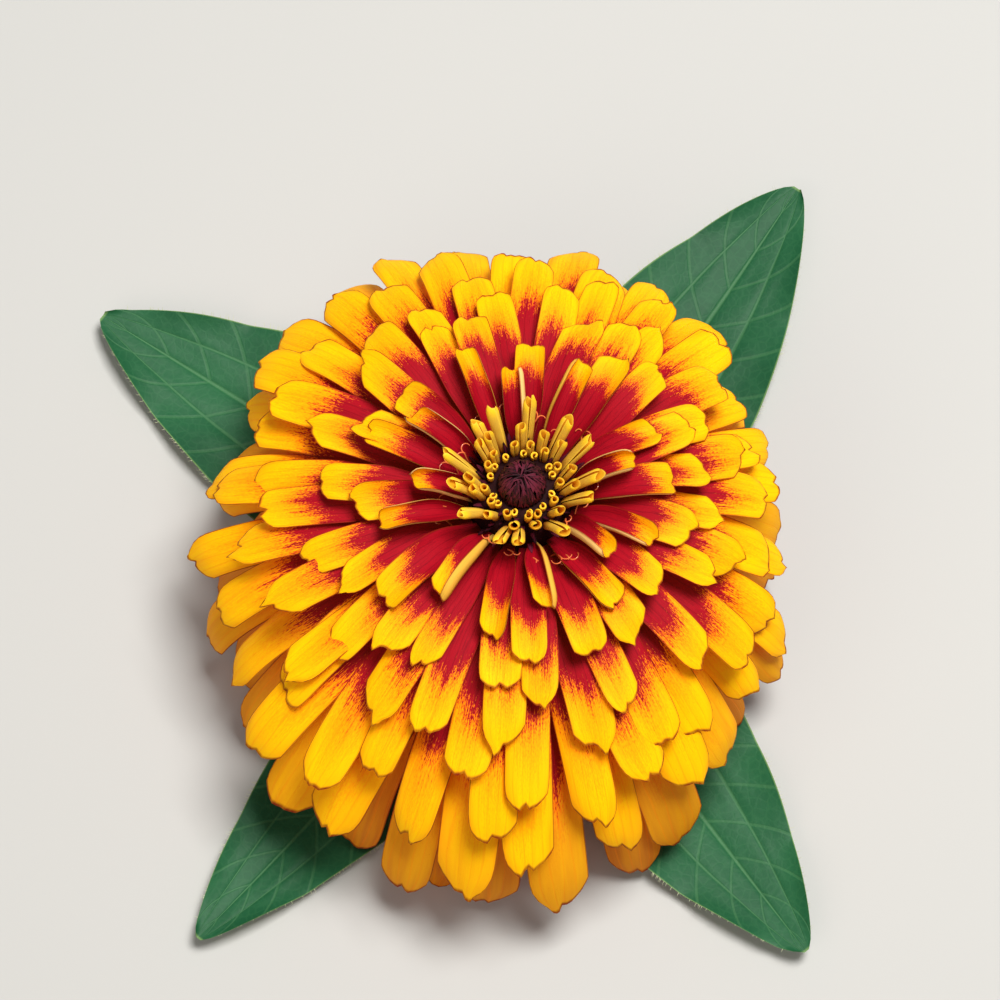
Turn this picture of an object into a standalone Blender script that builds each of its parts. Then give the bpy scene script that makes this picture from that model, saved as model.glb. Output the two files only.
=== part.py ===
"""A fully double zinnia bloom, as picked: ray florets in a spiral over a domed receptacle, rolled young
rays round a dark disc boss, a cup of bracts, a short cut end of stem and two opposite pairs of leaves.

Metres, +Z up. The flower's face looks up, and its lowest petal tips and its leaves rest on Z = 0. The origin
is the middle of the ground that it covers, with the stem's axis upright a little beside it. The side that
the longer, drooping petals are on is -Y.
"""

import math

import bmesh
import bpy
import numpy as np

MM = 0.001
SEED = 31
GOLDEN_TURN = math.pi * (3 - math.sqrt(5))

# The dome that the tips of the ray florets lie on: half an ellipse's outline, turned round Z
BLOOM_RADIUS = 48.0 * MM
DOME_RISE = 35.6 * MM
DOME_CENTRE_Z = 16.2 * MM
FRONT_REACH = 0.18  # how much further the front petals reach, as a share
LEFT_REACH = 0.105  # how much further the left petals reach, and how much less far the right ones
SIDE_PINCH = 0.06  # how much narrower the bloom is from side to side

# Ray florets, from the innermost (age 0) to the lowest (age 1)
RAY_COUNT = 158
SPIRAL_START = 3.15  # where the first petal stands, in radians from +X
INNER_TIP_ANGLE = 22.5  # degrees from the axis, seen from the dome's centre
TIP_ANGLE_SPAN = 78.5
TIP_ANGLE_DROOP = 20.0
INNER_RAY_WIDTH = 4.9 * MM
RAY_WIDTH_GAIN = 3.6 * MM
ROLLED_FULLNESS = 0.16  # how much wider the half rolled innermost petals are, as a share
FRONT_FULLNESS = 0.16  # how much wider the lowest front petals are
RAY_THICKNESS = 0.85 * MM
CLAW_SHARE = 0.30  # width at the root, as a share of the widest
WIDEST_AT = 0.60  # share of the length where the blade reaches its full width
NARROWS_FROM = 0.86  # share of the length where the tip begins
TIP_NARROWING = 0.38
CORNER_CUT = 0.05  # how much shorter the blade is at its two corners
CORNER_POWER = 2.5  # higher for a squarer end
TIP_DENT = 0.02  # how much shorter it is at its middle
DENT_POWER = 4  # higher for a narrower dent
TIP_SLANT = 0.04  # how much longer one corner of a twisted petal's end is, and the other shorter
TIP_ONE_SIDED = 0.8  # how much more one side of it draws in towards the tip, and the other less
ROOT_DEPTH = 2.2 * MM  # how far a root is sunk into the receptacle
ROOT_SLOPE = 45.0  # degrees above level for the innermost petal
ROOT_SLOPE_FALL = 35.0
TIP_SLOPE = 10.0  # degrees above level for a tip on the axis
TIP_SLOPE_FALL = 0.78  # degrees lost for each degree of tip angle
ROLLED_CURL = 1.75  # extra curl of the half rolled innermost petals, in radians
ROLLED_AGE = 0.10
INNER_CURL = 0.35
CURL_FALL = 0.85
CURL_STARTS_BY = 0.4  # share of the length where the curl is full
LEAST_CURL = 0.001  # keeps a flat petal's curl from being exactly 0
CURVE_HANDLE = 0.38  # handle of a midline's curve, as a share of the distance between its ends

# How far one petal may differ from the rule
AZIMUTH_PLAY = 0.09
TIP_ANGLE_PLAY = 2.4
REACH_PLAY = 0.04
TIP_SLOPE_PLAY = 8.0
WIDTH_PLAY = 0.11
CURL_PLAY = 0.22
TWIST_PLAY = 18.0
SWAY_PLAY = 2.0 * MM
SETTLING_STEPS = 3
RAY_ROWS = (0.0, 0.2, 0.42, 0.62, 0.80, 0.93, 1.0)
RAY_COLUMNS = (-1.0, 0.0, 1.0)
SCARLET_ROWS_INNER = 3
SCARLET_ROWS_OUTER = 2
SCARLET_CHANGE_AGE = 0.45

# Receptacle: the cone inside the bloom that the florets grow from
CONE_TOP_Z = 44.0 * MM
CONE_TOP_RADIUS = 7.2 * MM
CONE_BOTTOM_Z = 26.0 * MM
CONE_BOTTOM_RADIUS = 8.4 * MM
CONE_BELLY_Z = 30.0 * MM
CONE_BELLY_RADIUS = 10.8 * MM
CONE_SIDES = 24
TOP_ROOT_Z = 41.0 * MM
GAP = 0.3 * MM  # between neighbouring pieces
SAME_POINT = 0.002 * MM  # points closer than this are merged

# Young rays, in rings round the boss, counted from the innermost ring (0)
COLLAR_TOP_Z = 47.2 * MM
COLLAR_SHOULDER = 0.9 * MM
COLLAR_INNER_RADIUS = 4.3 * MM
COLLAR_OUTER_RADIUS = 7.0 * MM
COLLAR_LAND = 0.5 * MM
TUBE_RINGS = 3
TUBES_IN_A_RING = 13
TUBE_SIDES = 5
TUBE_STATIONS = (0.0, 0.55, 1.0)
TUBE_BEND = 1.3
TUBE_LEAN = 8.0  # degrees from upright in ring 0, and what each ring adds
TUBE_LEAN_STEP = 10.5
TUBE_LENGTH = 3.6 * MM
TUBE_LENGTH_STEP = 2.9 * MM
TUBE_FOOT_RADIUS = 0.42 * MM
TUBE_FOOT_RADIUS_STEP = 0.10 * MM
TUBE_MOUTH_RADIUS = 0.50 * MM
TUBE_MOUTH_RADIUS_STEP = 0.20 * MM
TUBE_FOOT_FAR = 0.85 * MM  # outside the collar's inner rim
TUBE_FOOT_FAR_STEP = 0.75 * MM
TUBE_FOOT_SUNK = 1.2 * MM  # below the collar's top
TUBE_FOOT_SUNK_STEP = 0.6 * MM
TUBE_AZIMUTH_PLAY = 0.08
TUBE_LEAN_PLAY = 2.0
TUBE_LENGTH_PLAY = 0.12

# Disc boss
BOSS_RADIUS = 3.9 * MM
BOSS_FOOT_RADIUS = 3.5 * MM
BOSS_WAIST_Z = 46.6 * MM
BOSS_SPRING_Z = 47.3 * MM  # where the boss's dome begins
BOSS_DOME_RADIUS = 3.5 * MM
BOSS_TOP_Z = 51.2 * MM
BOSS_DENT = 0.5 * MM
BOSS_DOME_SHARES = (0.0, 0.35, 0.62, 0.84, 0.97)
BOSS_RIBS = 13
BOSS_RIB_SHARE = 0.09

# Involucre: a cup with rows of bracts, the lowest row first
CUP_BOTTOM_Z = 14.5 * MM
CUP_BOTTOM_RADIUS = 3.6 * MM
CUP_BEND_Z = 17.1 * MM
CUP_BEND_RADIUS = 6.6 * MM
CUP_SIDE_Z = 22.1 * MM
CUP_SIDE_RADIUS = 8.3 * MM
CUP_TOP_RADIUS = 8.2 * MM
BRACT_ROWS = 3
BRACTS_IN_A_ROW = 11
BRACT_FOOT_RADIUS = 3.22 * MM
BRACT_FOOT_RADIUS_GAIN = 2.86 * MM
BRACT_FOOT_Z = 15.1 * MM
BRACT_FOOT_Z_GAIN = 5.0 * MM
BRACT_HEIGHT = 5.4 * MM
BRACT_SPREAD = 4.5 * MM
BRACT_SPREAD_LOSS = 1.0 * MM
BRACT_FOOT_SLOPE = 25.0
BRACT_TIP_SLOPE = 80.0
BRACT_HALF_WIDTH = 2.4 * MM
BRACT_HALF_WIDTH_GAIN = 0.6 * MM
BRACT_ROUNDING = 0.22
BRACT_BELLY = 0.25
BRACT_TIP_NARROWING = 0.35
BRACT_CURL = 0.5
BRACT_THICKNESS = 0.8 * MM
BRACT_AZIMUTH_PLAY = 0.05
BRACT_HEIGHT_PLAY = 0.25 * MM
BRACT_GRID_ROWS = (0.0, 0.4, 0.75, 1.0)

# Stem
STEM_RADIUS = 2.6 * MM
STEM_CUT_Z = 2.0 * MM
STEM_SWELL_SHARE = 0.6  # where the stem starts to widen, as a share of its height
STEM_SWELL = 1.25
STEM_SIDES = 12
STEM_RIB_SHARE = 0.05

# Leaves: name, direction in degrees from +X, height where it meets the stem, length and width
LEAVES = (
    ("leaf_upper_back", 55.0, 10.6 * MM, 76.0 * MM, 33.0 * MM),
    ("leaf_upper_front", 231.0, 10.6 * MM, 72.0 * MM, 25.0 * MM),
    ("leaf_lower_back", 144.0, 5.0 * MM, 76.0 * MM, 33.0 * MM),
    ("leaf_lower_front", 307.0, 5.0 * MM, 70.0 * MM, 30.0 * MM),
)
LEAF_ROWS = 11
LEAF_COLUMNS = (-1.0, -0.72, -0.45, -0.2, 0.0, 0.2, 0.45, 0.72, 1.0)
LEAF_THICKNESS = 0.8 * MM
LEAF_FOOT_CLEARANCE = 0.48 * MM  # outside the stem's radius
LEAF_LANDING = 0.30  # share of the length where a leaf has come down to the surface
LEAF_BED_Z = 1.3 * MM  # the middle of a leaf where it lies on the surface
LEAF_TIP_RISE = 2.6 * MM
LEAF_FOLD = 0.10  # rise of the margins, as a share of the half width
LEAF_GROOVE = 0.35 * MM
SIDE_VEIN_AT = 0.45  # share of the half width
LEAF_WAVE = 1.3 * MM
LEAF_WAVES = 2.3
LEAF_SWAY = 4.0 * MM
LEAF_ROOM = 4.2 * MM  # how high the petals stay above the surface where a leaf runs under them
LEAF_MARGIN = 3.0 * MM  # how far beside a leaf they still do
LEAF_END_MARGIN = 0.05  # and how far before its foot and past its tip, as a share of its length
LEAF_WIDEST_POWER = 0.72  # lower for a leaf that is widest nearer its foot
LEAF_FULLNESS = 0.75  # lower for blunter ends
LEAF_NECK = 0.3  # share of the length over which the blade widens from its foot
LEAF_NECK_LEAD = 0.05
LEAF_CLASP = 0.16  # width where it clasps the stem, as a share of the greatest width
LEAF_POINT = 0.04  # width of the drawn-out point
MIDRIB_GROOVE_WIDTH = 0.16  # these two as shares of the half width
SIDE_GROOVE_WIDTH = 0.14
SIDE_GROOVE_DEPTH = 0.8  # as a share of the midrib's
LEAF_WAVE_LEAD = 0.2  # how far the waves of one margin are ahead of the other's, in waves
LEAF_WAVE_FROM = 0.2  # share of the length where the waves start
LEAF_WAVE_GROWTH = 0.25  # share over which they grow to their full height
LEAF_FLAT_FOOT = 0.15  # share over which the blade is flatter

YELLOW = (0.85, 0.52, 0.02, 1.0)
SCARLET = (0.52, 0.01, 0.02, 1.0)
MAROON = (0.07, 0.008, 0.02, 1.0)
LEAF_GREEN = (0.03, 0.13, 0.07, 1.0)
BRACT_GREEN = (0.10, 0.20, 0.05, 1.0)
STEM_GREEN = (0.12, 0.22, 0.06, 1.0)


def clear_scene():
    """Removes the objects that a new scene starts with."""
    for thing in list(bpy.data.objects):
        bpy.data.objects.remove(thing)


def plain_material(name, colour, roughness):
    """A Principled material with one colour."""
    material = bpy.data.materials.new(name)
    material.use_nodes = True
    shader = material.node_tree.nodes["Principled BSDF"]
    shader.inputs["Base Color"].default_value = colour
    shader.inputs["Roughness"].default_value = roughness
    shader.inputs["Metallic"].default_value = 0.0
    return material


def new_object(name, points, faces, materials):
    """A mesh object of these points and faces, with its faces turned outwards."""
    mesh = bpy.data.meshes.new(name)
    mesh.from_pydata([tuple(point) for point in points], [], faces)
    for material in materials:
        mesh.materials.append(material)
    shell = bmesh.new()
    shell.from_mesh(mesh)
    bmesh.ops.recalc_face_normals(shell, faces=shell.faces)
    shell.to_mesh(mesh)
    shell.free()
    thing = bpy.data.objects.new(name, mesh)
    bpy.context.scene.collection.objects.link(thing)
    return thing


def smooth_step(value):
    """0 below 0, 1 above 1, and a smooth rise between."""
    value = np.clip(value, 0, 1)
    return value * value * (3 - 2 * value)


def curve_in_plane(start, start_angle, end, end_angle, along):
    """A cubic curve in the upright plane of a petal or leaf: its distance from the axis, its height and its
    slope angle at each share along it."""
    start = np.array(start)
    end = np.array(end)
    handle = CURVE_HANDLE * np.linalg.norm(end - start)
    first = start + handle * np.array([math.cos(start_angle), math.sin(start_angle)])
    second = end - handle * np.array([math.cos(end_angle), math.sin(end_angle)])
    along = along[..., None]
    rest = 1 - along
    place = rest**3 * start + 3 * rest**2 * along * first + 3 * rest * along**2 * second + along**3 * end
    slope = rest**2 * (first - start) + 2 * rest * along * (second - first) + along**2 * (end - second)
    return place[..., 0], place[..., 1], np.arctan2(slope[..., 1], slope[..., 0])


def blade_points(azimuth, radius, height, slope, side, rise, twist, sway):
    """Puts a blade's middle surface in space. side and rise are measured across the blade from its midline,
    which is moved sideways by sway, and twist turns the blade about that midline."""
    outward = np.array([math.cos(azimuth), math.sin(azimuth), 0.0])
    sideways = np.array([-math.sin(azimuth), math.cos(azimuth), 0.0])
    up = np.array([0.0, 0.0, 1.0])
    normal = -np.sin(slope)[..., None] * outward + np.cos(slope)[..., None] * up
    turned_side = np.cos(twist)[..., None] * sideways + np.sin(twist)[..., None] * normal
    turned_normal = np.cos(twist)[..., None] * normal - np.sin(twist)[..., None] * sideways
    middle = radius[..., None] * outward + height[..., None] * up + sway[..., None] * sideways
    return middle + side[..., None] * turned_side + rise[..., None] * turned_normal


def surface_normals(points):
    """Unit normals of a grid of points, rows along the blade and columns across it."""
    along = np.gradient(points, axis=0)
    across = np.gradient(points, axis=1)
    normals = np.cross(along, across)
    return normals / np.linalg.norm(normals, axis=2, keepdims=True)


def blade_solid(name, points, thickness, materials, base_rows=0):
    """A closed thin blade round a grid of points. It is as thick as said at its middle columns, and its two
    faces meet in its side edges and at its tip. Both faces are split into triangles alike. The faces of the
    first base_rows rows take the second material."""
    rows, columns = points.shape[:2]
    normals = surface_normals(points)
    places = []
    upper = np.zeros((rows, columns), int)
    lower = np.zeros((rows, columns), int)
    for row in range(rows):
        for column in range(columns):
            point = points[row, column]
            at_edge = column in (0, columns - 1) or row == rows - 1
            if at_edge:
                upper[row, column] = lower[row, column] = len(places)
                places.append(point)
                continue
            offset = normals[row, column] * thickness / 2
            upper[row, column] = len(places)
            places.append(point + offset)
            lower[row, column] = len(places)
            places.append(point - offset)
    faces = []
    slots = []
    for row in range(rows - 1):
        slot = 1 if row < base_rows else 0
        for column in range(columns - 1):
            for grid, order in ((upper, 1), (lower, -1)):
                a, b = grid[row, column], grid[row + 1, column]
                c, d = grid[row + 1, column + 1], grid[row, column + 1]
                faces.append((a, b, c)[::order])
                faces.append((a, c, d)[::order])
                slots += [slot, slot]
    root = list(upper[0]) + list(lower[0, -2:0:-1])
    faces.append(tuple(root))
    slots.append(1 if base_rows else 0)
    blade = new_object(name, places, [tuple(int(i) for i in face) for face in faces], materials)
    for face, slot in zip(blade.data.polygons, slots):
        face.material_index = slot
    return blade


def turned_solid(name, outline, sides, materials, ribs=0, rib_share=0.0):
    """A closed solid of revolution round Z. outline lists (radius, height) from the bottom to the top, and
    the flat ends are closed with a fan. Ribs swell the radius by rib_share."""
    places = []
    turn = np.arange(sides) * 2 * math.pi / sides
    swell = 1 + rib_share * np.cos(ribs * turn)
    for radius, height in outline:
        for angle, share in zip(turn, swell):
            places.append((radius * share * math.cos(angle), radius * share * math.sin(angle), height))
    faces = []
    for ring in range(len(outline) - 1):
        for side in range(sides):
            after = (side + 1) % sides
            first, second = ring * sides, (ring + 1) * sides
            faces.append((first + side, first + after, second + after, second + side))
    bottom = len(places)
    places.append((0, 0, outline[0][1]))
    top = len(places)
    places.append((0, 0, outline[-1][1]))
    last = (len(outline) - 1) * sides
    for side in range(sides):
        after = (side + 1) % sides
        faces.append((bottom, after, side))
        faces.append((top, last + side, last + after))
    return new_object(name, places, faces, materials)


def ring_solid(name, outline, sides, materials):
    """A closed ring round Z with this outline, listed as (radius, height) once round."""
    places = []
    for side in range(sides):
        turn = 2 * math.pi * side / sides
        for radius, height in outline:
            places.append((radius * math.cos(turn), radius * math.sin(turn), height))
    count = len(outline)
    faces = []
    for side in range(sides):
        first, second = side * count, (side + 1) % sides * count
        for corner in range(count):
            after = (corner + 1) % count
            faces.append((first + corner, first + after, second + after, second + corner))
    return new_object(name, places, faces, materials)


def keep_one_body(mesh):
    """Leaves the largest closed body of the mesh: sealed hollows are filled and loose scraps dropped."""
    shell = bmesh.new()
    shell.from_mesh(mesh)
    bmesh.ops.remove_doubles(shell, verts=shell.verts, dist=SAME_POINT)
    bmesh.ops.dissolve_degenerate(shell, edges=shell.edges, dist=SAME_POINT)
    bmesh.ops.triangulate(shell, faces=shell.faces)
    shell.faces.ensure_lookup_table()
    unseen = set(shell.faces)
    bodies = []
    while unseen:
        front = [unseen.pop()]
        body = []
        while front:
            face = front.pop()
            body.append(face)
            for edge in face.edges:
                for other in edge.link_faces:
                    if other in unseen:
                        unseen.remove(other)
                        front.append(other)
        bodies.append(body)
    bodies.sort(key=len)
    for body in bodies[:-1]:
        bmesh.ops.delete(shell, geom=body, context="FACES")
    shell.to_mesh(mesh)
    shell.free()


def fuse(core, pieces, solver="EXACT"):
    """Joins the pieces to the core with one Boolean union, and removes them."""
    group = bpy.data.collections.new("pieces of " + core.name)
    bpy.context.scene.collection.children.link(group)
    for piece in pieces:
        group.objects.link(piece)
        bpy.context.scene.collection.objects.unlink(piece)
    union = core.modifiers.new("union", "BOOLEAN")
    union.operation = "UNION"
    union.operand_type = "COLLECTION"
    union.collection = group
    union.solver = solver
    bpy.context.view_layer.update()
    graph = bpy.context.evaluated_depsgraph_get()
    joined = bpy.data.meshes.new_from_object(core.evaluated_get(graph))
    core.modifiers.clear()
    core.data = joined
    for piece in pieces:
        bpy.data.objects.remove(piece)
    bpy.data.collections.remove(group)
    keep_one_body(joined)


def cone_radius(height):
    """The receptacle's radius at a height above its belly."""
    share = (height - CONE_BELLY_Z) / (CONE_TOP_Z - CONE_BELLY_Z)
    return CONE_BELLY_RADIUS + (CONE_TOP_RADIUS - CONE_BELLY_RADIUS) * share


def leaf_half_width(width, along):
    """Half the width of a leaf at a share of its length: a narrow clasping base, widest at a third, and a
    drawn-out point."""
    swell = np.sin(math.pi * np.clip(along, 0, 1) ** LEAF_WIDEST_POWER) ** LEAF_FULLNESS
    swell = swell * smooth_step((along + LEAF_NECK_LEAD) / LEAF_NECK)
    base = LEAF_CLASP * (1 - along) ** 6
    point = LEAF_POINT * along**4
    return width / 2 * (swell + base + point)


def floor_height(points):
    """How high the petals have to stay at these points: 0 on the bare surface, more where a leaf lies."""
    height = np.zeros(points.shape[:-1])
    for _, direction, _, length, width in LEAVES:
        turn = math.radians(direction)
        along = (points[..., 0] * math.cos(turn) + points[..., 1] * math.sin(turn)) / length
        side = np.abs(points[..., 1] * math.cos(turn) - points[..., 0] * math.sin(turn))
        reach = leaf_half_width(width, np.clip(along, 0, 1)) + LEAF_MARGIN
        beside = (along > LEAF_END_MARGIN) & (along < 1 + LEAF_END_MARGIN) & (side < reach)
        height[beside] = LEAF_ROOM
    return height


def ray_surface(index, chance, along, across, lift=0.0):
    """The middle surface of one ray floret. The midline is a cubic curve from the receptacle to a tip on the
    dome. Across it the blade is an arc, whose edges curl up on the inner rays and down on the outer ones.
    The half rolled innermost rays and the lowest front ones are a little fuller than the rest.
    chance holds the petal's own eight random numbers from -1 to 1."""
    age = index / (RAY_COUNT - 1)
    azimuth = SPIRAL_START + index * GOLDEN_TURN + AZIMUTH_PLAY * chance[0]
    tip_angle = INNER_TIP_ANGLE + TIP_ANGLE_SPAN * age + TIP_ANGLE_DROOP * age**4
    tip_angle = tip_angle + TIP_ANGLE_PLAY * chance[1]
    rolled = math.exp(-((age / ROLLED_AGE) ** 2))
    in_front = age * max(0.0, -math.sin(azimuth)) ** 2
    reach = 1 + FRONT_REACH * in_front
    reach = reach * (1 - SIDE_PINCH * math.cos(azimuth) ** 2 - LEFT_REACH * age**0.5 * math.cos(azimuth))
    tip_radius = BLOOM_RADIUS * math.sin(math.radians(tip_angle)) * reach * (1 + REACH_PLAY * chance[2])
    tip_height = DOME_CENTRE_Z + DOME_RISE * math.cos(math.radians(tip_angle)) + lift
    root_height = TOP_ROOT_Z - (TOP_ROOT_Z - CONE_BELLY_Z) * age
    root_radius = cone_radius(root_height) - ROOT_DEPTH
    start_angle = math.radians(ROOT_SLOPE - ROOT_SLOPE_FALL * age)
    end_angle = math.radians(TIP_SLOPE - TIP_SLOPE_FALL * tip_angle + TIP_SLOPE_PLAY * chance[3])
    width = (INNER_RAY_WIDTH + RAY_WIDTH_GAIN * age) * (1 + WIDTH_PLAY * chance[4])
    width = width * (1 + ROLLED_FULLNESS * rolled + FRONT_FULLNESS * in_front)

    away = np.abs(across)
    tip_line = 1 - CORNER_CUT * away**CORNER_POWER - TIP_DENT * (1 - away) ** DENT_POWER
    tip_line = tip_line + TIP_SLANT * chance[6] * across
    along = along * tip_line
    radius, height, slope = curve_in_plane(
        (root_radius, root_height), start_angle, (tip_radius, tip_height), end_angle, along
    )
    growth = CLAW_SHARE + (1 - CLAW_SHARE) * smooth_step(along / WIDEST_AT)
    tip_share = np.clip((along - NARROWS_FROM) / (1 - NARROWS_FROM), 0, 1)
    narrowing = TIP_NARROWING * (1 + TIP_ONE_SIDED * chance[6] * across)
    half = width / 2 * growth * (1 - narrowing * tip_share**2)
    curl = ROLLED_CURL * rolled + INNER_CURL - CURL_FALL * age
    curl = curl + CURL_PLAY * chance[5] + LEAST_CURL
    side = half * np.sin(curl * across) / curl
    rise = half * (1 - np.cos(curl * across)) / curl * smooth_step(along / CURL_STARTS_BY)
    twist = math.radians(TWIST_PLAY) * chance[6] * along
    sway = SWAY_PLAY * chance[7] * along**2
    return blade_points(azimuth, radius, height, slope, side, rise, twist, sway)


def settled_ray(index, chance, along, across):
    """A ray floret whose tip is raised as far as the surface and the leaves under it need."""
    lift = 0.0
    for _ in range(SETTLING_STEPS):
        points = ray_surface(index, chance, along, across, lift)
        lift += max(0.0, (floor_height(points) - points[..., 2]).max())
    return ray_surface(index, chance, along, across, lift)


def make_ray_florets():
    """All the petals, fused to the receptacle."""
    materials = (
        plain_material("petal yellow", YELLOW, 0.55),
        plain_material("petal scarlet", SCARLET, 0.55),
    )
    outline = (
        (CONE_BOTTOM_RADIUS, CONE_BOTTOM_Z),
        (CONE_BELLY_RADIUS, CONE_BELLY_Z),
        (CONE_TOP_RADIUS, CONE_TOP_Z),
    )
    core = turned_solid("ray_florets", outline, CONE_SIDES, materials)
    chances = np.random.default_rng(SEED).uniform(-1, 1, (RAY_COUNT, 8))
    along, across = np.meshgrid(RAY_ROWS, RAY_COLUMNS, indexing="ij")
    petals = []
    for index in range(RAY_COUNT):
        points = settled_ray(index, chances[index], along, across)
        young = index < RAY_COUNT * SCARLET_CHANGE_AGE
        scarlet_rows = SCARLET_ROWS_INNER if young else SCARLET_ROWS_OUTER
        petals.append(
            blade_solid(f"ray {index}", points, RAY_THICKNESS, materials, base_rows=scarlet_rows)
        )
    fuse(core, petals)


def tube_solid(index, chance, materials):
    """A rolled young ray: a slim tube that bends outwards as it rises, with a dimple for its mouth."""
    ring = index // TUBES_IN_A_RING
    azimuth = index * GOLDEN_TURN + TUBE_AZIMUTH_PLAY * chance[0]
    lean = math.radians(TUBE_LEAN + TUBE_LEAN_STEP * ring + TUBE_LEAN_PLAY * chance[1])
    length = (TUBE_LENGTH + TUBE_LENGTH_STEP * ring) * (1 + TUBE_LENGTH_PLAY * chance[2])
    foot_radius = TUBE_FOOT_RADIUS + TUBE_FOOT_RADIUS_STEP * ring
    mouth_radius = TUBE_MOUTH_RADIUS + TUBE_MOUTH_RADIUS_STEP * ring
    foot_far = COLLAR_INNER_RADIUS + TUBE_FOOT_FAR + TUBE_FOOT_FAR_STEP * ring
    foot_high = COLLAR_TOP_Z - TUBE_FOOT_SUNK - TUBE_FOOT_SUNK_STEP * ring
    stations = np.array(TUBE_STATIONS)
    radius = foot_far + length * np.sin(lean) * stations**TUBE_BEND
    height = foot_high + length * np.cos(lean) * stations
    outward = np.array([math.cos(azimuth), math.sin(azimuth), 0.0])
    sideways = np.array([-math.sin(azimuth), math.cos(azimuth), 0.0])
    up = np.array([0.0, 0.0, 1.0])
    across = math.cos(lean) * outward - math.sin(lean) * up
    places = []
    for station, far, high in zip(stations, radius, height):
        thick = foot_radius + (mouth_radius - foot_radius) * station
        for side in range(TUBE_SIDES):
            turn = 2 * math.pi * side / TUBE_SIDES
            place = far * outward + high * up
            place = place + thick * (math.cos(turn) * across + math.sin(turn) * sideways)
            places.append(place)
    faces = []
    for step in range(len(stations) - 1):
        for side in range(TUBE_SIDES):
            after = (side + 1) % TUBE_SIDES
            first, second = step * TUBE_SIDES, (step + 1) * TUBE_SIDES
            faces.append((first + side, first + after, second + after, second + side))
    faces.append(tuple(range(TUBE_SIDES)))
    dimple = len(places)
    mouth = radius[-1] * outward + height[-1] * up
    places.append(mouth - mouth_radius * (math.sin(lean) * outward + math.cos(lean) * up))
    last = (len(stations) - 1) * TUBE_SIDES
    for side in range(TUBE_SIDES):
        faces.append((dimple, last + side, last + (side + 1) % TUBE_SIDES))
    return new_object(f"tube {index}", places, faces, materials)


def make_young_rays():
    """Three rings of rolled young rays on a collar round the boss."""
    materials = (plain_material("young ray yellow", YELLOW, 0.5),)
    bottom = CONE_TOP_Z + GAP
    outline = [
        (COLLAR_INNER_RADIUS, bottom),
        (COLLAR_OUTER_RADIUS, bottom),
        (COLLAR_OUTER_RADIUS, bottom + COLLAR_SHOULDER),
        (COLLAR_INNER_RADIUS + COLLAR_LAND, COLLAR_TOP_Z),
        (COLLAR_INNER_RADIUS, COLLAR_TOP_Z),
    ]
    collar = ring_solid("young_rays", outline, CONE_SIDES, materials)
    chances = np.random.default_rng(SEED + 1).uniform(-1, 1, (TUBE_RINGS * TUBES_IN_A_RING, 3))
    fuse(collar, [tube_solid(index, chance, materials) for index, chance in enumerate(chances)])


def make_disc_boss():
    """The dark boss: chaff drawn together in ribs that close towards the middle."""
    material = plain_material("disc maroon", MAROON, 0.7)
    outline = [(BOSS_FOOT_RADIUS, CONE_TOP_Z + GAP), (BOSS_FOOT_RADIUS, BOSS_WAIST_Z)]
    for share in BOSS_DOME_SHARES:
        angle = share * math.pi / 2
        height = BOSS_SPRING_Z + (BOSS_TOP_Z - BOSS_SPRING_Z) * math.sin(angle)
        outline.append((BOSS_DOME_RADIUS * math.cos(angle), height))
    boss = turned_solid("disc_boss", outline, BOSS_RIBS * 2, (material,), BOSS_RIBS, BOSS_RIB_SHARE)
    boss.data.vertices[-1].co.z -= BOSS_DENT


def bract_surface(row, index, chance, along, across):
    """A green bract: a short rounded scale that lies on the cup and stands off it a little at its tip."""
    share = row / (BRACT_ROWS - 1)
    azimuth = (index + 0.5 * (row % 2)) * 2 * math.pi / BRACTS_IN_A_ROW + BRACT_AZIMUTH_PLAY * chance[0]
    foot = (BRACT_FOOT_RADIUS + BRACT_FOOT_RADIUS_GAIN * share, BRACT_FOOT_Z + BRACT_FOOT_Z_GAIN * share)
    climb = BRACT_HEIGHT + BRACT_HEIGHT_PLAY * chance[1]
    tip = (foot[0] + BRACT_SPREAD - BRACT_SPREAD_LOSS * share, foot[1] + climb)
    along = along * (1 - BRACT_ROUNDING * across**2)
    radius, height, slope = curve_in_plane(
        foot, math.radians(BRACT_FOOT_SLOPE), tip, math.radians(BRACT_TIP_SLOPE), along
    )
    half = BRACT_HALF_WIDTH + BRACT_HALF_WIDTH_GAIN * share
    belly = 1 - BRACT_BELLY + BRACT_BELLY * np.sin(math.pi * along)
    half = half * belly * (1 - BRACT_TIP_NARROWING * along**3)
    side = half * np.sin(BRACT_CURL * across) / BRACT_CURL
    rise = half * (1 - np.cos(BRACT_CURL * across)) / BRACT_CURL
    none = np.zeros_like(along)
    return blade_points(azimuth, radius, height, slope, side, rise, none, none)


def make_involucre():
    """The cup under the bloom, covered with overlapping bracts."""
    materials = (plain_material("bract green", BRACT_GREEN, 0.6),)
    outline = (
        (CUP_BOTTOM_RADIUS, CUP_BOTTOM_Z),
        (CUP_BEND_RADIUS, CUP_BEND_Z),
        (CUP_SIDE_RADIUS, CUP_SIDE_Z),
        (CUP_TOP_RADIUS, CONE_BOTTOM_Z - GAP),
    )
    cup = turned_solid("involucre", outline, BRACTS_IN_A_ROW * 2, materials)
    along, across = np.meshgrid(BRACT_GRID_ROWS, RAY_COLUMNS, indexing="ij")
    chances = np.random.default_rng(SEED + 2).uniform(-1, 1, (BRACT_ROWS, BRACTS_IN_A_ROW, 2))
    bracts = []
    for row in range(BRACT_ROWS):
        for index in range(BRACTS_IN_A_ROW):
            points = bract_surface(row, index, chances[row, index], along, across)
            bracts.append(blade_solid(f"bract {row} {index}", points, BRACT_THICKNESS, materials))
    fuse(cup, bracts, solver="MANIFOLD")


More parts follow.
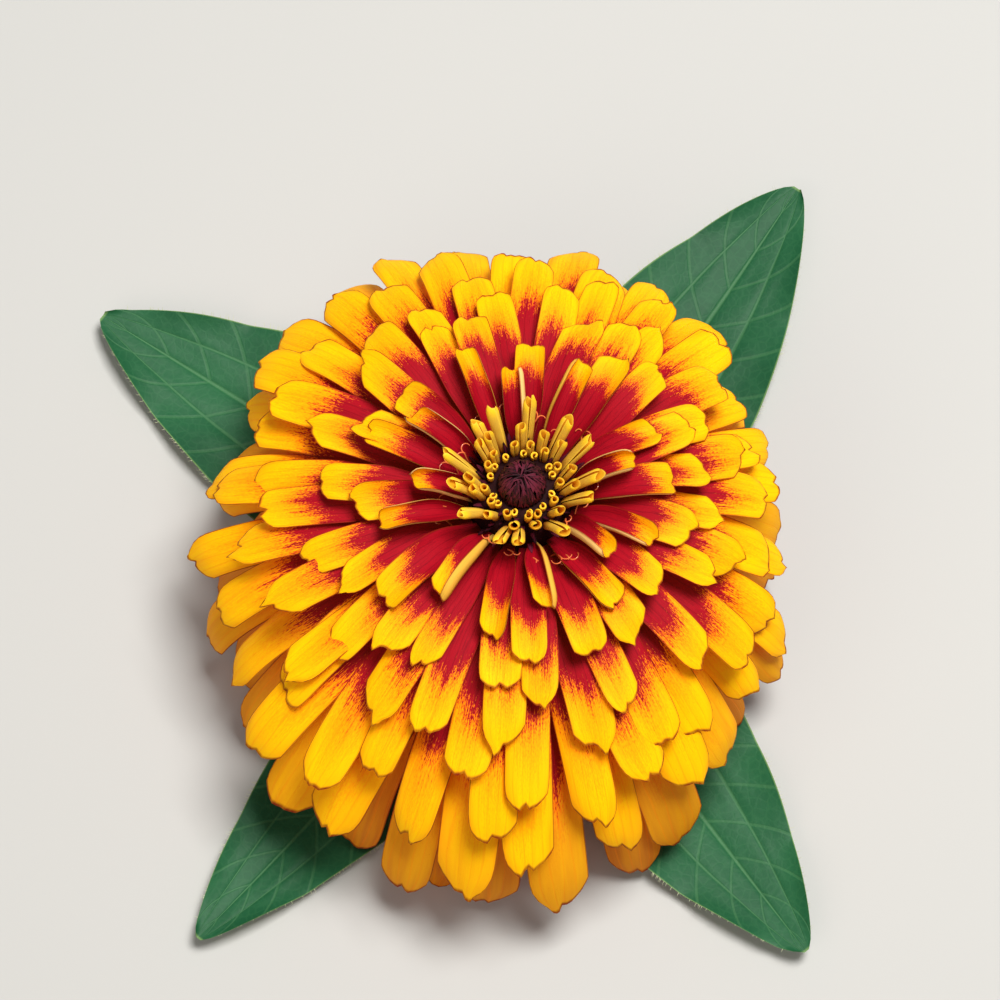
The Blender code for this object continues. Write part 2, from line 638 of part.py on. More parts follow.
def make_stem():
    """The ribbed end of the stem, cut off square, swelling a little into the cup."""
    material = plain_material("stem green", STEM_GREEN, 0.6)
    top = CUP_BOTTOM_Z - GAP
    outline = (
        (STEM_RADIUS, STEM_CUT_Z),
        (STEM_RADIUS, STEM_CUT_Z + (top - STEM_CUT_Z) * STEM_SWELL_SHARE),
        (STEM_RADIUS * STEM_SWELL, top),
    )
    turned_solid("stem", outline, STEM_SIDES, (material,), STEM_SIDES // 2, STEM_RIB_SHARE)


def leaf_surface(direction, foot_z, length, width, along, across):
    """The middle surface of a leaf. It comes out of the stem level, sinks to the surface and lies there. The
    blade is folded up from its midrib, hollowed along its three main veins and waved at its edges."""
    azimuth = math.radians(direction)
    radius = STEM_RADIUS + LEAF_FOOT_CLEARANCE + GAP + length * along
    height = LEAF_BED_Z + (foot_z - LEAF_BED_Z) * (1 - smooth_step(along / LEAF_LANDING))
    height = height + LEAF_TIP_RISE * np.clip((along - LEAF_LANDING) / (1 - LEAF_LANDING), 0, 1) ** 3
    slope = np.arctan2(np.gradient(height, axis=0), np.gradient(radius, axis=0))
    half = leaf_half_width(width, along)
    away = np.abs(across)
    fold = LEAF_FOLD * half * away**1.5
    side_groove = np.exp(-(((away - SIDE_VEIN_AT) / SIDE_GROOVE_WIDTH) ** 2))
    grooves = np.exp(-((away / MIDRIB_GROOVE_WIDTH) ** 2)) + SIDE_GROOVE_DEPTH * side_groove
    phase = LEAF_WAVES * along + LEAF_WAVE_LEAD * np.sign(across)
    wave = LEAF_WAVE * np.abs(np.sin(2 * math.pi * phase)) * away**4
    wave = wave * smooth_step((along - LEAF_WAVE_FROM) / LEAF_WAVE_GROWTH)
    rise = fold - LEAF_GROOVE * grooves * np.sin(math.pi * along) + wave
    rise = rise * smooth_step(along / LEAF_FLAT_FOOT)
    none = np.zeros_like(along)
    sway = LEAF_SWAY * math.sin(azimuth * 3) * along**2
    return blade_points(azimuth, radius, height, slope, half * across, rise, none, sway)


def make_leaves():
    """Two opposite pairs of leaves, the second pair across the first."""
    material = plain_material("leaf green", LEAF_GREEN, 0.5)
    rows = np.linspace(0, 1, LEAF_ROWS)
    along, across = np.meshgrid(rows, LEAF_COLUMNS, indexing="ij")
    for name, direction, foot_z, length, width in LEAVES:
        points = leaf_surface(direction, foot_z, length, width, along, across)
        lowest = points[:, 1:-1, 2].min() - LEAF_THICKNESS / 2
        points[..., 2] -= lowest
        blade_solid(name, points, LEAF_THICKNESS, (material,))


def rest_on_surface():
    """Presses anything that would reach below the surface flat onto it, and moves the flower sideways until
    the middle of the ground that it covers is at the origin."""
    places = []
    for thing in bpy.context.scene.objects:
        for vertex in thing.data.vertices:
            vertex.co.z = max(vertex.co.z, 0.0)
            places.append(vertex.co.copy())
    places = np.array(places)
    middle = (places.min(axis=0) + places.max(axis=0)) / 2
    for thing in bpy.context.scene.objects:
        for vertex in thing.data.vertices:
            vertex.co.x -= middle[0]
            vertex.co.y -= middle[1]


clear_scene()
make_ray_florets()
make_young_rays()
make_disc_boss()
make_involucre()
make_stem()
make_leaves()
rest_on_surface()
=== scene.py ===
# %% [markdown]
# # A double zinnia, picked and laid face up
#
# The flower head is a composite: each petal is a floret of its own, and all of them grow in a spiral from
# one cone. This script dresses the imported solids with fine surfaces. It starts by loading those solids,
# which stay where they are. Everything is in metres, with Z up, and the flower's axis is the stem's.

# %% Load the frame
import math

import bpy
import numpy as np
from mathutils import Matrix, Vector


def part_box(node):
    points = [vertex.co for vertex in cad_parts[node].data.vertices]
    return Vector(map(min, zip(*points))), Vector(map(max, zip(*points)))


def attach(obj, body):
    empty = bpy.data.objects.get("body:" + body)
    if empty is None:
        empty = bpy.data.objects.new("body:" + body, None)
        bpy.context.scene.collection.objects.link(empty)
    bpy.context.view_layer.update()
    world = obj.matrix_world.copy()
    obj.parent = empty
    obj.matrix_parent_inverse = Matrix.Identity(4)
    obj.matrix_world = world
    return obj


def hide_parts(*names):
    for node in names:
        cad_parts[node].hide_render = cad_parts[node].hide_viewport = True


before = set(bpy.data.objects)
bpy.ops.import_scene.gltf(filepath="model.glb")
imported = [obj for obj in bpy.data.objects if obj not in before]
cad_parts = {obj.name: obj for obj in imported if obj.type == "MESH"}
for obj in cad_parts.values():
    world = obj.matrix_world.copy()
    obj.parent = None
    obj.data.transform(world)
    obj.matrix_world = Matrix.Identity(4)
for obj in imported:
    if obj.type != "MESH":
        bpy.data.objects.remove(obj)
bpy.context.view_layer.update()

MM = 0.001
stem_low, stem_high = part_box("stem")
AXIS = np.array([(stem_low.x + stem_high.x) / 2, (stem_low.y + stem_high.y) / 2, 0.0])
BOSS_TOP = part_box("disc_boss")[1].z
print("axis at", AXIS.round(4), "top of the boss at", round(BOSS_TOP, 4))

# %% [markdown]
# ## Camera
#
# The photograph looks down on the bloom from a little in front. A long lens keeps the near petals from
# swelling. The camera could be turned until the flower fits, but sliding it sideways without a turn
# keeps the viewing angle, so that is done here: it slides until the dark disc falls on its place in the
# picture.

# %% Camera
PICTURE_SIDE = 1000
DISC_PIXEL = (522, 475)
METRES_A_PIXEL = 0.1506 * MM
CAMERA_ELEVATION = math.radians(71)
CAMERA_DISTANCE = 0.60
SENSOR_WIDTH = 36.0


def place_camera():
    """Sets the camera back from the disc along its line of sight, then slides it across that line."""
    back = Vector((0, -math.cos(CAMERA_ELEVATION), math.sin(CAMERA_ELEVATION)))
    right = Vector((1, 0, 0))
    up = back.cross(right)
    disc = Vector((AXIS[0], AXIS[1], BOSS_TOP))
    depth_of_bloom = CAMERA_DISTANCE + BOSS_TOP / 2 * math.sin(CAMERA_ELEVATION)
    slope_a_pixel = METRES_A_PIXEL / depth_of_bloom
    across = (DISC_PIXEL[0] - PICTURE_SIDE / 2) * slope_a_pixel * CAMERA_DISTANCE
    down = (DISC_PIXEL[1] - PICTURE_SIDE / 2) * slope_a_pixel * CAMERA_DISTANCE
    data = bpy.data.cameras.new("camera")
    data.sensor_width = SENSOR_WIDTH
    data.lens = SENSOR_WIDTH / (PICTURE_SIDE * slope_a_pixel)
    camera = bpy.data.objects.new("camera", data)
    camera.location = disc + back * CAMERA_DISTANCE - right * across + up * down
    camera.rotation_euler = (math.pi / 2 - CAMERA_ELEVATION, 0, 0)
    bpy.context.scene.collection.objects.link(camera)
    bpy.context.scene.camera = camera
    return camera


camera = place_camera()
print("lens", round(camera.data.lens, 1), "mm")

# %% [markdown]
# ## Floor and light
#
# Petals show best under one large soft lamp from above and behind, which leaves the gaps between them deep,
# with a weak fill from the front. A plain pale floor lies under the flower, as a stage that is no part of
# it. The Standard view keeps strong yellow and red as they are, where the default view would wash them out.

# %% Floor
FLOOR_SIDE = 8.0
FLOOR_GREY = (0.50, 0.50, 0.49, 1)
FLOOR_ROUGHNESS = 0.8


def make_floor():
    """A wide pale sheet under the flower."""
    half = FLOOR_SIDE / 2
    corners = [(-half, -half, 0), (half, -half, 0), (half, half, 0), (-half, half, 0)]
    mesh = bpy.data.meshes.new("floor")
    mesh.from_pydata(corners, [], [(0, 1, 2, 3)])
    material = bpy.data.materials.new("pale floor")
    material.use_nodes = True
    shader = material.node_tree.nodes["Principled BSDF"]
    shader.inputs["Base Color"].default_value = FLOOR_GREY
    shader.inputs["Roughness"].default_value = FLOOR_ROUGHNESS
    mesh.materials.append(material)
    floor = bpy.data.objects.new("floor", mesh)
    bpy.context.scene.collection.objects.link(floor)


make_floor()
print("floor side", FLOOR_SIDE, "m")

# %% Light
# Lamps: name, place, side, power in watts, colour
LAMPS = (
    ("key", (0.20, 0.12, 0.86), 0.34, 10.7, (1.0, 0.98, 0.94)),
    ("fill", (-0.45, -0.55, 0.60), 0.60, 1.8, (1.0, 0.90, 0.74)),
)
SKY_COLOUR = (0.95, 0.97, 1.0, 1)
SKY_STRENGTH = 0.20


def add_lamp(name, place, side, power, colour):
    """A square area lamp that points at the middle of the bloom."""
    data = bpy.data.lights.new(name, "AREA")
    data.size = side
    data.energy = power
    data.color = colour
    lamp = bpy.data.objects.new(name, data)
    lamp.location = place
    towards_bloom = Vector((0, 0, BOSS_TOP / 2)) - Vector(place)
    lamp.rotation_euler = towards_bloom.to_track_quat("-Z", "Y").to_euler()
    bpy.context.scene.collection.objects.link(lamp)


def light_the_sky():
    """A dim even light from all sides."""
    world = bpy.data.worlds.new("studio")
    world.use_nodes = True
    background = world.node_tree.nodes["Background"]
    background.inputs["Color"].default_value = SKY_COLOUR
    background.inputs["Strength"].default_value = SKY_STRENGTH
    bpy.context.scene.world = world


for lamp_values in LAMPS:
    add_lamp(*lamp_values)
light_the_sky()
bpy.context.scene.view_settings.view_transform = "Standard"

# %% [markdown]
# ## From a grid of points to a piece
#
# A petal is a thin sheet. Its middle surface is a grid of points: rows along it and columns across it. A
# Solidify modifier could thicken it, but two copies of the grid, moved apart along the normals and sharing
# the points of their rim, give an edge that thins out as a real petal's does, and let the two faces keep
# separate coordinates for colour. All sheets of one piece are computed together as whole arrays.

# %% Helpers for points


def smooth_step(value):
    """0 below 0, 1 above 1, and between them 3v^2 - 2v^3."""
    value = np.clip(value, 0, 1)
    return value * value * (3 - 2 * value)


def unit(vectors):
    """The vectors, each divided by its length."""
    return vectors / np.maximum(np.linalg.norm(vectors, axis=-1, keepdims=True), 1e-12)


def per_sheet(values):
    """One value a sheet, shaped to spread over rows and columns."""
    return np.asarray(values)[:, None, None]


def sheet_normals(points):
    """Unit normals of grids of points: the cross product of the steps along the rows and the columns."""
    return unit(np.cross(np.gradient(points, axis=1), np.gradient(points, axis=2)))


def grid(rows, columns):
    """Two arrays that hold, for every point of a grid, its place along and its place across."""
    return np.meshgrid(rows, columns, indexing="ij")


def even_grid(rows, columns, end=1.0):
    """A grid in even steps, along from 0 to the end and across from -1 to 1."""
    return grid(np.linspace(0, end, rows), np.linspace(-1, 1, columns))


print("a smooth step passes", smooth_step(0.25), smooth_step(0.5), smooth_step(0.75))

# %% Helpers for faces


def sheet_numbers(rows, columns):
    """Point numbers of one closed sheet: the upper grid, and a lower one that shares its rim."""
    upper = np.arange(rows * columns).reshape(rows, columns)
    lower = upper.copy()
    inner = (rows - 2) * (columns - 2)
    lower[1:-1, 1:-1] = rows * columns + np.arange(inner).reshape(rows - 2, columns - 2)
    return upper, lower


def quads_of(numbers):
    """The four corners of each cell of a grid of point numbers, turned so that the normal is up."""
    corners = (numbers[:-1, :-1], numbers[1:, :-1], numbers[1:, 1:], numbers[:-1, 1:])
    return np.stack(corners, axis=-1).reshape(-1, 4)


def ring_walls(steps, sides):
    """Rings of point numbers, the same rings moved on by one point, and the quads between the rings."""
    ring = np.arange(steps * sides).reshape(steps, sides)
    after = np.roll(ring, -1, axis=1)
    walls = np.stack((ring[:-1], after[:-1], after[1:], ring[1:]), axis=-1).reshape(-1, 4)
    return ring, after, walls


print("a grid of 4 by 4 points has", len(quads_of(sheet_numbers(4, 4)[0])), "cells")

# %% Helpers for pieces
BLADE_MAP = "blade"
SHARP_ANGLE = math.radians(55)


def finish_piece(name, mesh, material):
    """Gives a mesh its material and smooth shading with sharp creases, and lets it ride on the root body."""
    mesh.materials.append(material)
    mesh.shade_smooth()
    mesh.set_sharp_from_angle(angle=SHARP_ANGLE)
    piece = bpy.data.objects.new(name, mesh)
    bpy.context.scene.collection.objects.link(piece)
    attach(piece, "root")
    print(f"{name}: {len(mesh.polygons)} faces")
    return piece


def mesh_piece(name, points, corners, map_values, attributes, material):
    """A piece from point places and quads. map_values are the map's two coordinates at each quad corner,
    and attributes holds one value a point under each name."""
    mesh = bpy.data.meshes.new(name)
    mesh.vertices.add(len(points))
    mesh.vertices.foreach_set("co", np.ascontiguousarray(points + AXIS, np.float32).ravel())
    mesh.loops.add(corners.size)
    mesh.loops.foreach_set("vertex_index", corners.ravel().astype(np.int32))
    mesh.polygons.add(len(corners))
    mesh.polygons.foreach_set("loop_start", np.arange(len(corners), dtype=np.int32) * 4)
    layer = mesh.uv_layers.new(name=BLADE_MAP)
    layer.data.foreach_set("uv", np.ascontiguousarray(map_values, np.float32).ravel())
    for key, values in attributes.items():
        attribute = mesh.attributes.new(key, "FLOAT", "POINT")
        attribute.data.foreach_set("value", np.ascontiguousarray(values, np.float32).ravel())
    mesh.update(calc_edges=True)
    mesh.validate()
    return finish_piece(name, mesh, material)


def plain_piece(name, points, corners, material):
    """A piece whose finish needs no blade map, so its map is all zeros."""
    return mesh_piece(name, points, corners, np.zeros((corners.size, 2)), {}, material)


print("a crease sharper than", round(math.degrees(SHARP_ANGLE)), "degrees is shaded as an edge")

# %% Sheets
UNDERSIDE_OFFSET = 3.0  # added to the map's second coordinate on a sheet's lower face
SIDE_POWER = 8  # the higher, the later a sheet thins out towards its sides
END_POWER = 24  # and towards its two ends


def sheets_piece(name, points, thickness, along, across, attributes, material):
    """Closed thin sheets from middle surfaces of shape (sheet, row, column, 3). Each face lies half the
    thickness from the middle, times a share that falls to 0 at the rim. attributes has one value a sheet."""
    count, rows, columns = points.shape[:3]
    upper, lower = sheet_numbers(rows, columns)
    inside = (1 - np.abs(across) ** SIDE_POWER) * (1 - np.abs(2 * along - 1) ** END_POWER)
    offset = sheet_normals(points) * (thickness / 2) * inside[..., None]
    top = (points + offset).reshape(count, -1, 3)
    bottom = (points - offset)[:, 1:-1, 1:-1].reshape(count, -1, 3)
    places = np.concatenate((top, bottom), axis=1)
    one_sheet = np.concatenate((quads_of(upper), quads_of(lower)[:, ::-1]))
    corners = one_sheet[None] + (np.arange(count) * places.shape[1])[:, None, None]
    cells = quads_of(upper)
    flat = np.stack((along.ravel(), across.ravel()), axis=-1)
    map_bottom = flat[cells[:, ::-1]] + np.array([0, UNDERSIDE_OFFSET])
    map_values = np.tile(np.concatenate((flat[cells], map_bottom))[None], (count, 1, 1, 1))
    spread = {}
    for key, values in attributes.items():
        spread[key] = np.repeat(values[:, None], places.shape[1], axis=1)
    return mesh_piece(
        name, places.reshape(-1, 3), corners.reshape(-1, 4), map_values, spread, material
    )


print("the underside's map starts at", UNDERSIDE_OFFSET)

# %% [markdown]
# ## Shader groups
#
# A petal's pattern follows the petal: red runs out from the base in streaks between the veins and breaks up
# into specks. An image could be painted, but noise stretched along the blade gives the same streaks on any
# petal. The blade's own map says how far along and across a point is, and two numbers stored on each petal,
# its age and a random one, make every petal differ. What several finishes share is a node group.

# %% Node helpers
UNDER_START = 1.5  # map values above this are on the underside


def new_group(name, inputs, outputs):
    """An empty shader node group with float or colour sockets, and its input and output nodes."""
    group = bpy.data.node_groups.new(name, "ShaderNodeTree")
    for label, value in inputs.items():
        kind = "NodeSocketColor" if isinstance(value, tuple) else "NodeSocketFloat"
        socket = group.interface.new_socket(label, in_out="INPUT", socket_type=kind)
        socket.default_value = value
    for label, kind in outputs.items():
        group.interface.new_socket(label, in_out="OUTPUT", socket_type=kind)
    return group, group.nodes.new("NodeGroupInput"), group.nodes.new("NodeGroupOutput")


def feed(tree, socket, value):
    """Links an output socket to this socket, or writes a plain value into it."""
    if isinstance(value, bpy.types.NodeSocket):
        tree.links.new(value, socket)
    else:
        socket.default_value = value


def calc(tree, operation, first, second=0.0, third=0.0):
    """A Math node, and its result."""
    node = tree.nodes.new("ShaderNodeMath")
    node.operation = operation
    for socket, value in zip(node.inputs, (first, second, third)):
        feed(tree, socket, value)
    return node.outputs[0]


def ramp(tree, value, low, high, low_result=0.0, high_result=1.0):
    """A smooth Map Range node from low..high to the two results."""
    node = tree.nodes.new("ShaderNodeMapRange")
    node.interpolation_type = "SMOOTHSTEP"
    for label, given in (
        ("Value", value),
        ("From Min", low),
        ("From Max", high),
        ("To Min", low_result),
        ("To Max", high_result),
    ):
        feed(tree, node.inputs[label], given)
    return node.outputs["Result"]


def blend(tree, factor, first, second):
    """A colour Mix node: first where the factor is 0, second where it is 1."""
    node = tree.nodes.new("ShaderNodeMix")
    node.data_type = "RGBA"
    feed(tree, node.inputs["Factor"], factor)
    feed(tree, node.inputs["A"], first)
    feed(tree, node.inputs["B"], second)
    return node.outputs["Result"]


print("a map value above", UNDER_START, "is on the underside")

# %% Noise and vectors


def noise(tree, vector, scale, detail=2.0, roughness=0.5):
    """A Noise Texture's grey value."""
    node = tree.nodes.new("ShaderNodeTexNoise")
    feed(tree, node.inputs["Vector"], vector)
    node.inputs["Scale"].default_value = scale
    node.inputs["Detail"].default_value = detail
    node.inputs["Roughness"].default_value = roughness
    return node.outputs["Fac"]


def vector_of(tree, x, y, z):
    """A Combine XYZ node's vector."""
    node = tree.nodes.new("ShaderNodeCombineXYZ")
    for socket, value in zip(node.inputs, (x, y, z)):
        feed(tree, socket, value)
    return node.outputs[0]


print("helpers for noise ready")

# %% Screen colours


def linear(red, green, blue):
    """A colour given in the 0 to 255 steps of a screen, as linear light."""
    steps = np.array([red, green, blue]) / 255
    light = np.where(steps <= 0.04045, steps / 12.92, ((steps + 0.055) / 1.055) ** 2.4)
    return (*[float(part) for part in light], 1.0)


print("mid grey in linear light:", linear(128, 128, 128))

# %% Blade coordinates group


def blade_coordinates():
    """Splits the blade map into along, across from -1 to 1, and an underside mask."""
    sockets = {"Along": "NodeSocketFloat", "Across": "NodeSocketFloat", "Under": "NodeSocketFloat"}
    group, _, result = new_group("blade coordinates", {}, sockets)
    place = group.nodes.new("ShaderNodeUVMap")
    place.uv_map = BLADE_MAP
    split = group.nodes.new("ShaderNodeSeparateXYZ")
    group.links.new(place.outputs["UV"], split.inputs[0])
    under = calc(group, "GREATER_THAN", split.outputs["Y"], UNDER_START)
    across = calc(group, "MULTIPLY_ADD", under, -UNDERSIDE_OFFSET, split.outputs["Y"])
    feed(group, result.inputs["Along"], split.outputs["X"])
    feed(group, result.inputs["Across"], across)
    feed(group, result.inputs["Under"], under)
    return group


BLADE_COORDINATES = blade_coordinates()
print("group:", BLADE_COORDINATES.name)

# %% Streaks group
PETALS_APART = 57.0  # how far apart in the noise two petals lie
VEIN_TURN = 17.0  # of the veins' cosine, in radians from a blade's middle to its margin
VEIN_BEND = 7.0  # by which the streaks bend it, in radians
VEIN_CREST = 0.80  # what counts as a vein, of the cosine's 1
STREAK_ROUGHNESS = 0.6
# Noises: name, scale along and across the blade, detail
STREAK_KINDS = (
    ("Streak", 3.0, 2.6, 2.0),
    ("Hair", 9.0, 26.0, 3.0),
    ("Grain", 80.0, 25.0, 2.0),
)


def streaks():
    """Noise drawn out along a blade, in coarse streaks, fine hairs and short grains, differing by petal,
    and lengthwise veins: narrow crests of a cosine across the blade, bent a little by the streaks."""
    group, given, result = new_group(
        "streaks along a blade",
        {"Along": 0.0, "Across": 0.0, "Chance": 0.0},
        {label: "NodeSocketFloat" for label in ("Streak", "Hair", "Grain", "Vein")},
    )
    along, across = given.outputs["Along"], given.outputs["Across"]
    apart = calc(group, "MULTIPLY", given.outputs["Chance"], PETALS_APART)
    kinds = {}
    for label, along_scale, across_scale, detail in STREAK_KINDS:
        along_scaled = calc(group, "MULTIPLY", along, along_scale)
        across_scaled = calc(group, "MULTIPLY", across, across_scale)
        stretched = vector_of(group, along_scaled, across_scaled, apart)
        kinds[label] = noise(group, stretched, 1.0, detail, STREAK_ROUGHNESS)
        feed(group, result.inputs[label], kinds[label])
    bend = calc(group, "MULTIPLY", kinds["Streak"], VEIN_BEND)
    wave = calc(group, "COSINE", calc(group, "MULTIPLY_ADD", across, VEIN_TURN, bend))
    feed(group, result.inputs["Vein"], ramp(group, wave, VEIN_CREST, 1.0))
    return group


STREAKS = streaks()
print("group:", STREAKS.name)

# %% Edge line group
LENGTH_IN_HALF_WIDTHS = 3.2  # about that of a petal, so that the line is as wide at its end


def edge_line():
    """A mask that is 1 in a fine line along a blade's side edges and its end."""
    group, given, result = new_group(
        "edge line",
        {"Along": 0.0, "Across": 0.0, "Width": 0.05},
        {"Line": "NodeSocketFloat"},
    )
    side = calc(group, "SUBTRACT", 1.0, calc(group, "ABSOLUTE", given.outputs["Across"]))
    end = calc(group, "SUBTRACT", 1.0, given.outputs["Along"])
    near = calc(group, "MINIMUM", side, calc(group, "MULTIPLY", end, LENGTH_IN_HALF_WIDTHS))
    in_widths = calc(group, "DIVIDE", near, given.outputs["Width"])
    line = calc(group, "SUBTRACT", 1.0, ramp(group, in_widths, 0.2, 1.0))
    feed(group, result.inputs["Line"], line)
    return group


EDGE_LINE = edge_line()
print("groups:", [group.name for group in bpy.data.node_groups])

# %% Material helpers
SHEEN_ROUGHNESS = 0.4


def new_material(name, roughness, specular=0.35, sheen=0.0):
    """A material with a Principled shader, whose constant values are set on its own sockets."""
    material = bpy.data.materials.new(name)
    material.use_nodes = True
    tree = material.node_tree
    shader = tree.nodes["Principled BSDF"]
    shader.inputs["Roughness"].default_value = roughness
    shader.inputs["Specular IOR Level"].default_value = specular
    shader.inputs["Sheen Weight"].default_value = sheen
    shader.inputs["Sheen Roughness"].default_value = SHEEN_ROUGHNESS
    return material, tree, shader


def place_group(tree, group, **values):
    """An instance of a node group with its inputs fed by name."""
    node = tree.nodes.new("ShaderNodeGroup")
    node.node_tree = group
    for label, value in values.items():
        feed(tree, node.inputs[label], value)
    return node.outputs


def stored(tree, name):
    """The value that a piece stores on its points under this name."""
    node = tree.nodes.new("ShaderNodeAttribute")
    node.attribute_name = name
    return node.outputs["Fac"]


def blade_marks(tree):
    """The coordinates of a blade and the streaks along it, each by name."""
    place = place_group(tree, BLADE_COORDINATES)
    chance = stored(tree, "chance")
    return place, place_group(tree, STREAKS, Along=place["Along"], Across=place["Across"], Chance=chance)


def own_place(tree):
    """A point's place in metres: the Object output of a Texture Coordinate node."""
    return tree.nodes.new("ShaderNodeTexCoord").outputs["Object"]


def add_play(tree, value, play, onto):
    """onto + play (value - 0.5), which shifts onto to both sides by a random or a noise value."""
    return calc(tree, "MULTIPLY_ADD", calc(tree, "SUBTRACT", value, 0.5), play, onto)


def add_bump(tree, shader, height, distance, strength=1.0):
    """A Bump node from a height value into the shader's normal."""
    bump = tree.nodes.new("ShaderNodeBump")
    bump.inputs["Strength"].default_value = strength
    bump.inputs["Distance"].default_value = distance
    feed(tree, bump.inputs["Height"], height)
    tree.links.new(bump.outputs["Normal"], shader.inputs["Normal"])


print("helpers for materials ready")

# %% [markdown]
# ## Petal finish
#
# The upper face is scarlet from the root to more than half way, darkest at the very root, then bright yellow
# with a golden cast, and both have faint veins. Where they meet, the red runs out in streaks and specks. The
# gold is deeper at the sides, near the red and on the older, lower petals, as painted shade; near the red it
# is partly the petal's own orange. On the oldest petals there is less red, and painted shade darkens the
# yellow to ochre on these lowest layers. The underside is cream or olive on the young rolled petals, with
# painted shade in ochre towards the middle of the roll, and terracotta on the old ones. A fine brown line
# follows every edge, partly the petal's own colour and partly painted shadow along the margin, and the
# yellow carries a weak painted glow for the light that comes through the petals. All of it is mixed from
# masks, because a picture would have to be painted for each petal.

# %% Petal colours
SCARLET = linear(156, 7, 28)
CRIMSON = linear(92, 4, 20)
VEIN_RED = linear(74, 0, 16)
RED_ORANGE = linear(228, 84, 8)
SPECK_BROWN = linear(196, 120, 10)
YELLOW = linear(254, 200, 0)
GOLD = linear(248, 174, 2)
# gold of the veins, and painted shade at the petals' sides, under the petals above and on the lower, older
# petals
SHADE_AND_VEIN_GOLD = linear(232, 124, 8)
# painted shade on the oldest, lowest petals, which lie under the layers above
LOWEST_SHADE_OCHRE = linear(150, 84, 30)
CREAM = linear(240, 198, 122)
OLIVE_YELLOW = linear(220, 168, 60)
# painted shade on the rolled underside, towards its middle
ROLLED_SHADE_OCHRE = linear(206, 136, 44)
TERRACOTTA = linear(205, 120, 36)
ROOT_OCHRE = linear(190, 150, 70)
# partly the petal's own brown margin and partly painted shadow along its edge
EDGE_BROWN_AND_SHADOW = linear(132, 34, 12)
# painted glow: an emission colour in place of the light that comes through the petals
PAINTED_GLOW = (0.13, 0.016, 0.0, 1.0)  # light that comes through the petals from above
NO_GLOW = (0.0, 0.0, 0.0, 1.0)
print("scarlet", [round(part, 3) for part in SCARLET], "yellow", [round(part, 3) for part in YELLOW])

# %% Border of the red
# All as shares of a petal's length
BORDER_AT = 0.77  # on the youngest petal, from its root
BORDER_AGE_LOSS = 0.08
BORDER_LATE_LOSS = 0.24  # grows with the square of age
BORDER_PLAY = 0.10
TONGUE = 0.09
TONGUE_PLAY = 0.5  # of half a width, to either side
RED_MARGIN = 0.04
RED_MARGIN_FROM = 0.84  # of half the width
BREAK_UP = (("Streak", 0.20), ("Hair", 0.30), ("Grain", 0.32))
SETBACK = 0.06


def border_of_red(tree, along, across, age, chance, marks):
    """How far a point is beyond the border of the red. The border comes nearer the root with age, the red
    runs out in a tongue along the middle and a little at the margins, and noise breaks it up."""
    border = calc(tree, "MULTIPLY_ADD", age, -BORDER_AGE_LOSS, BORDER_AT)
    border = calc(tree, "MULTIPLY_ADD", calc(tree, "MULTIPLY", age, age), -BORDER_LATE_LOSS, border)
    border = add_play(tree, chance, BORDER_PLAY, border)
    off_tongue = calc(tree, "SUBTRACT", across, TONGUE_PLAY / 2)
    off_tongue = calc(tree, "ABSOLUTE", calc(tree, "MULTIPLY_ADD", chance, TONGUE_PLAY, off_tongue))
    shifted = calc(tree, "MULTIPLY_ADD", ramp(tree, off_tongue, 0.0, 1.0), TONGUE, along)
    at_margin = ramp(tree, calc(tree, "ABSOLUTE", across), RED_MARGIN_FROM, 1.0)
    shifted = calc(tree, "MULTIPLY_ADD", at_margin, -RED_MARGIN, shifted)
    for label, play in BREAK_UP:
        shifted = add_play(tree, marks[label], play, shifted)
    return calc(tree, "SUBTRACT", calc(tree, "SUBTRACT", shifted, SETBACK), border)


print("the red of the oldest petals ends at", round(BORDER_AT - BORDER_AGE_LOSS - BORDER_LATE_LOSS, 2))

# %% Petal upper face


def yellow_end(tree, across, age, beyond, marks):
    """Yellow mottled with gold, with painted shade in gold at the sides and on the older, lower petals, and
    near the red a gold that is partly painted shade of the petals above and partly the petal's own orange;
    painted shade darkens the oldest, lowest petals to ochre; orange right at the red, with brown specks and
    faint veins."""
    mottle = ramp(tree, marks["Streak"], 0.35, 0.75, 0.0, 0.6)
    yellow = blend(tree, mottle, YELLOW, GOLD)
    # painted shade: gold at the sides, where a petal curves away from the light, and on the older, lower
    # petals; near the red it is partly painted shade of the petals above and partly the petal's own orange
    side_shade = ramp(tree, calc(tree, "ABSOLUTE", across), 0.45, 1.0, 0.0, 0.28)
    near_red_gold_and_shade = ramp(tree, beyond, 0.04, 0.30, 0.65, 0.0)
    lower_petal_shade = ramp(tree, age, 0.60, 1.0, 0.0, 0.30)
    golden = calc(tree, "MAXIMUM", lower_petal_shade, calc(tree, "MAXIMUM", side_shade, near_red_gold_and_shade))
    yellow = blend(tree, golden, yellow, SHADE_AND_VEIN_GOLD)
    # painted shade: the oldest, lowest petals darkened to ochre in uneven patches
    uneven = ramp(tree, marks["Streak"], 0.2, 0.7, 0.7, 1.0)
    lowest_petal_shade = calc(tree, "MULTIPLY", ramp(tree, age, 0.70, 0.98, 0.0, 0.85), uneven)
    yellow = blend(tree, lowest_petal_shade, yellow, LOWEST_SHADE_OCHRE)
    yellow = blend(tree, ramp(tree, beyond, 0.0, 0.09, 0.85, 0.0), yellow, RED_ORANGE)
    yellow = blend(tree, ramp(tree, marks["Grain"], 0.70, 0.76, 0.0, 0.7), yellow, SPECK_BROWN)
    return blend(tree, calc(tree, "MULTIPLY", marks["Vein"], 0.22), yellow, SHADE_AND_VEIN_GOLD)


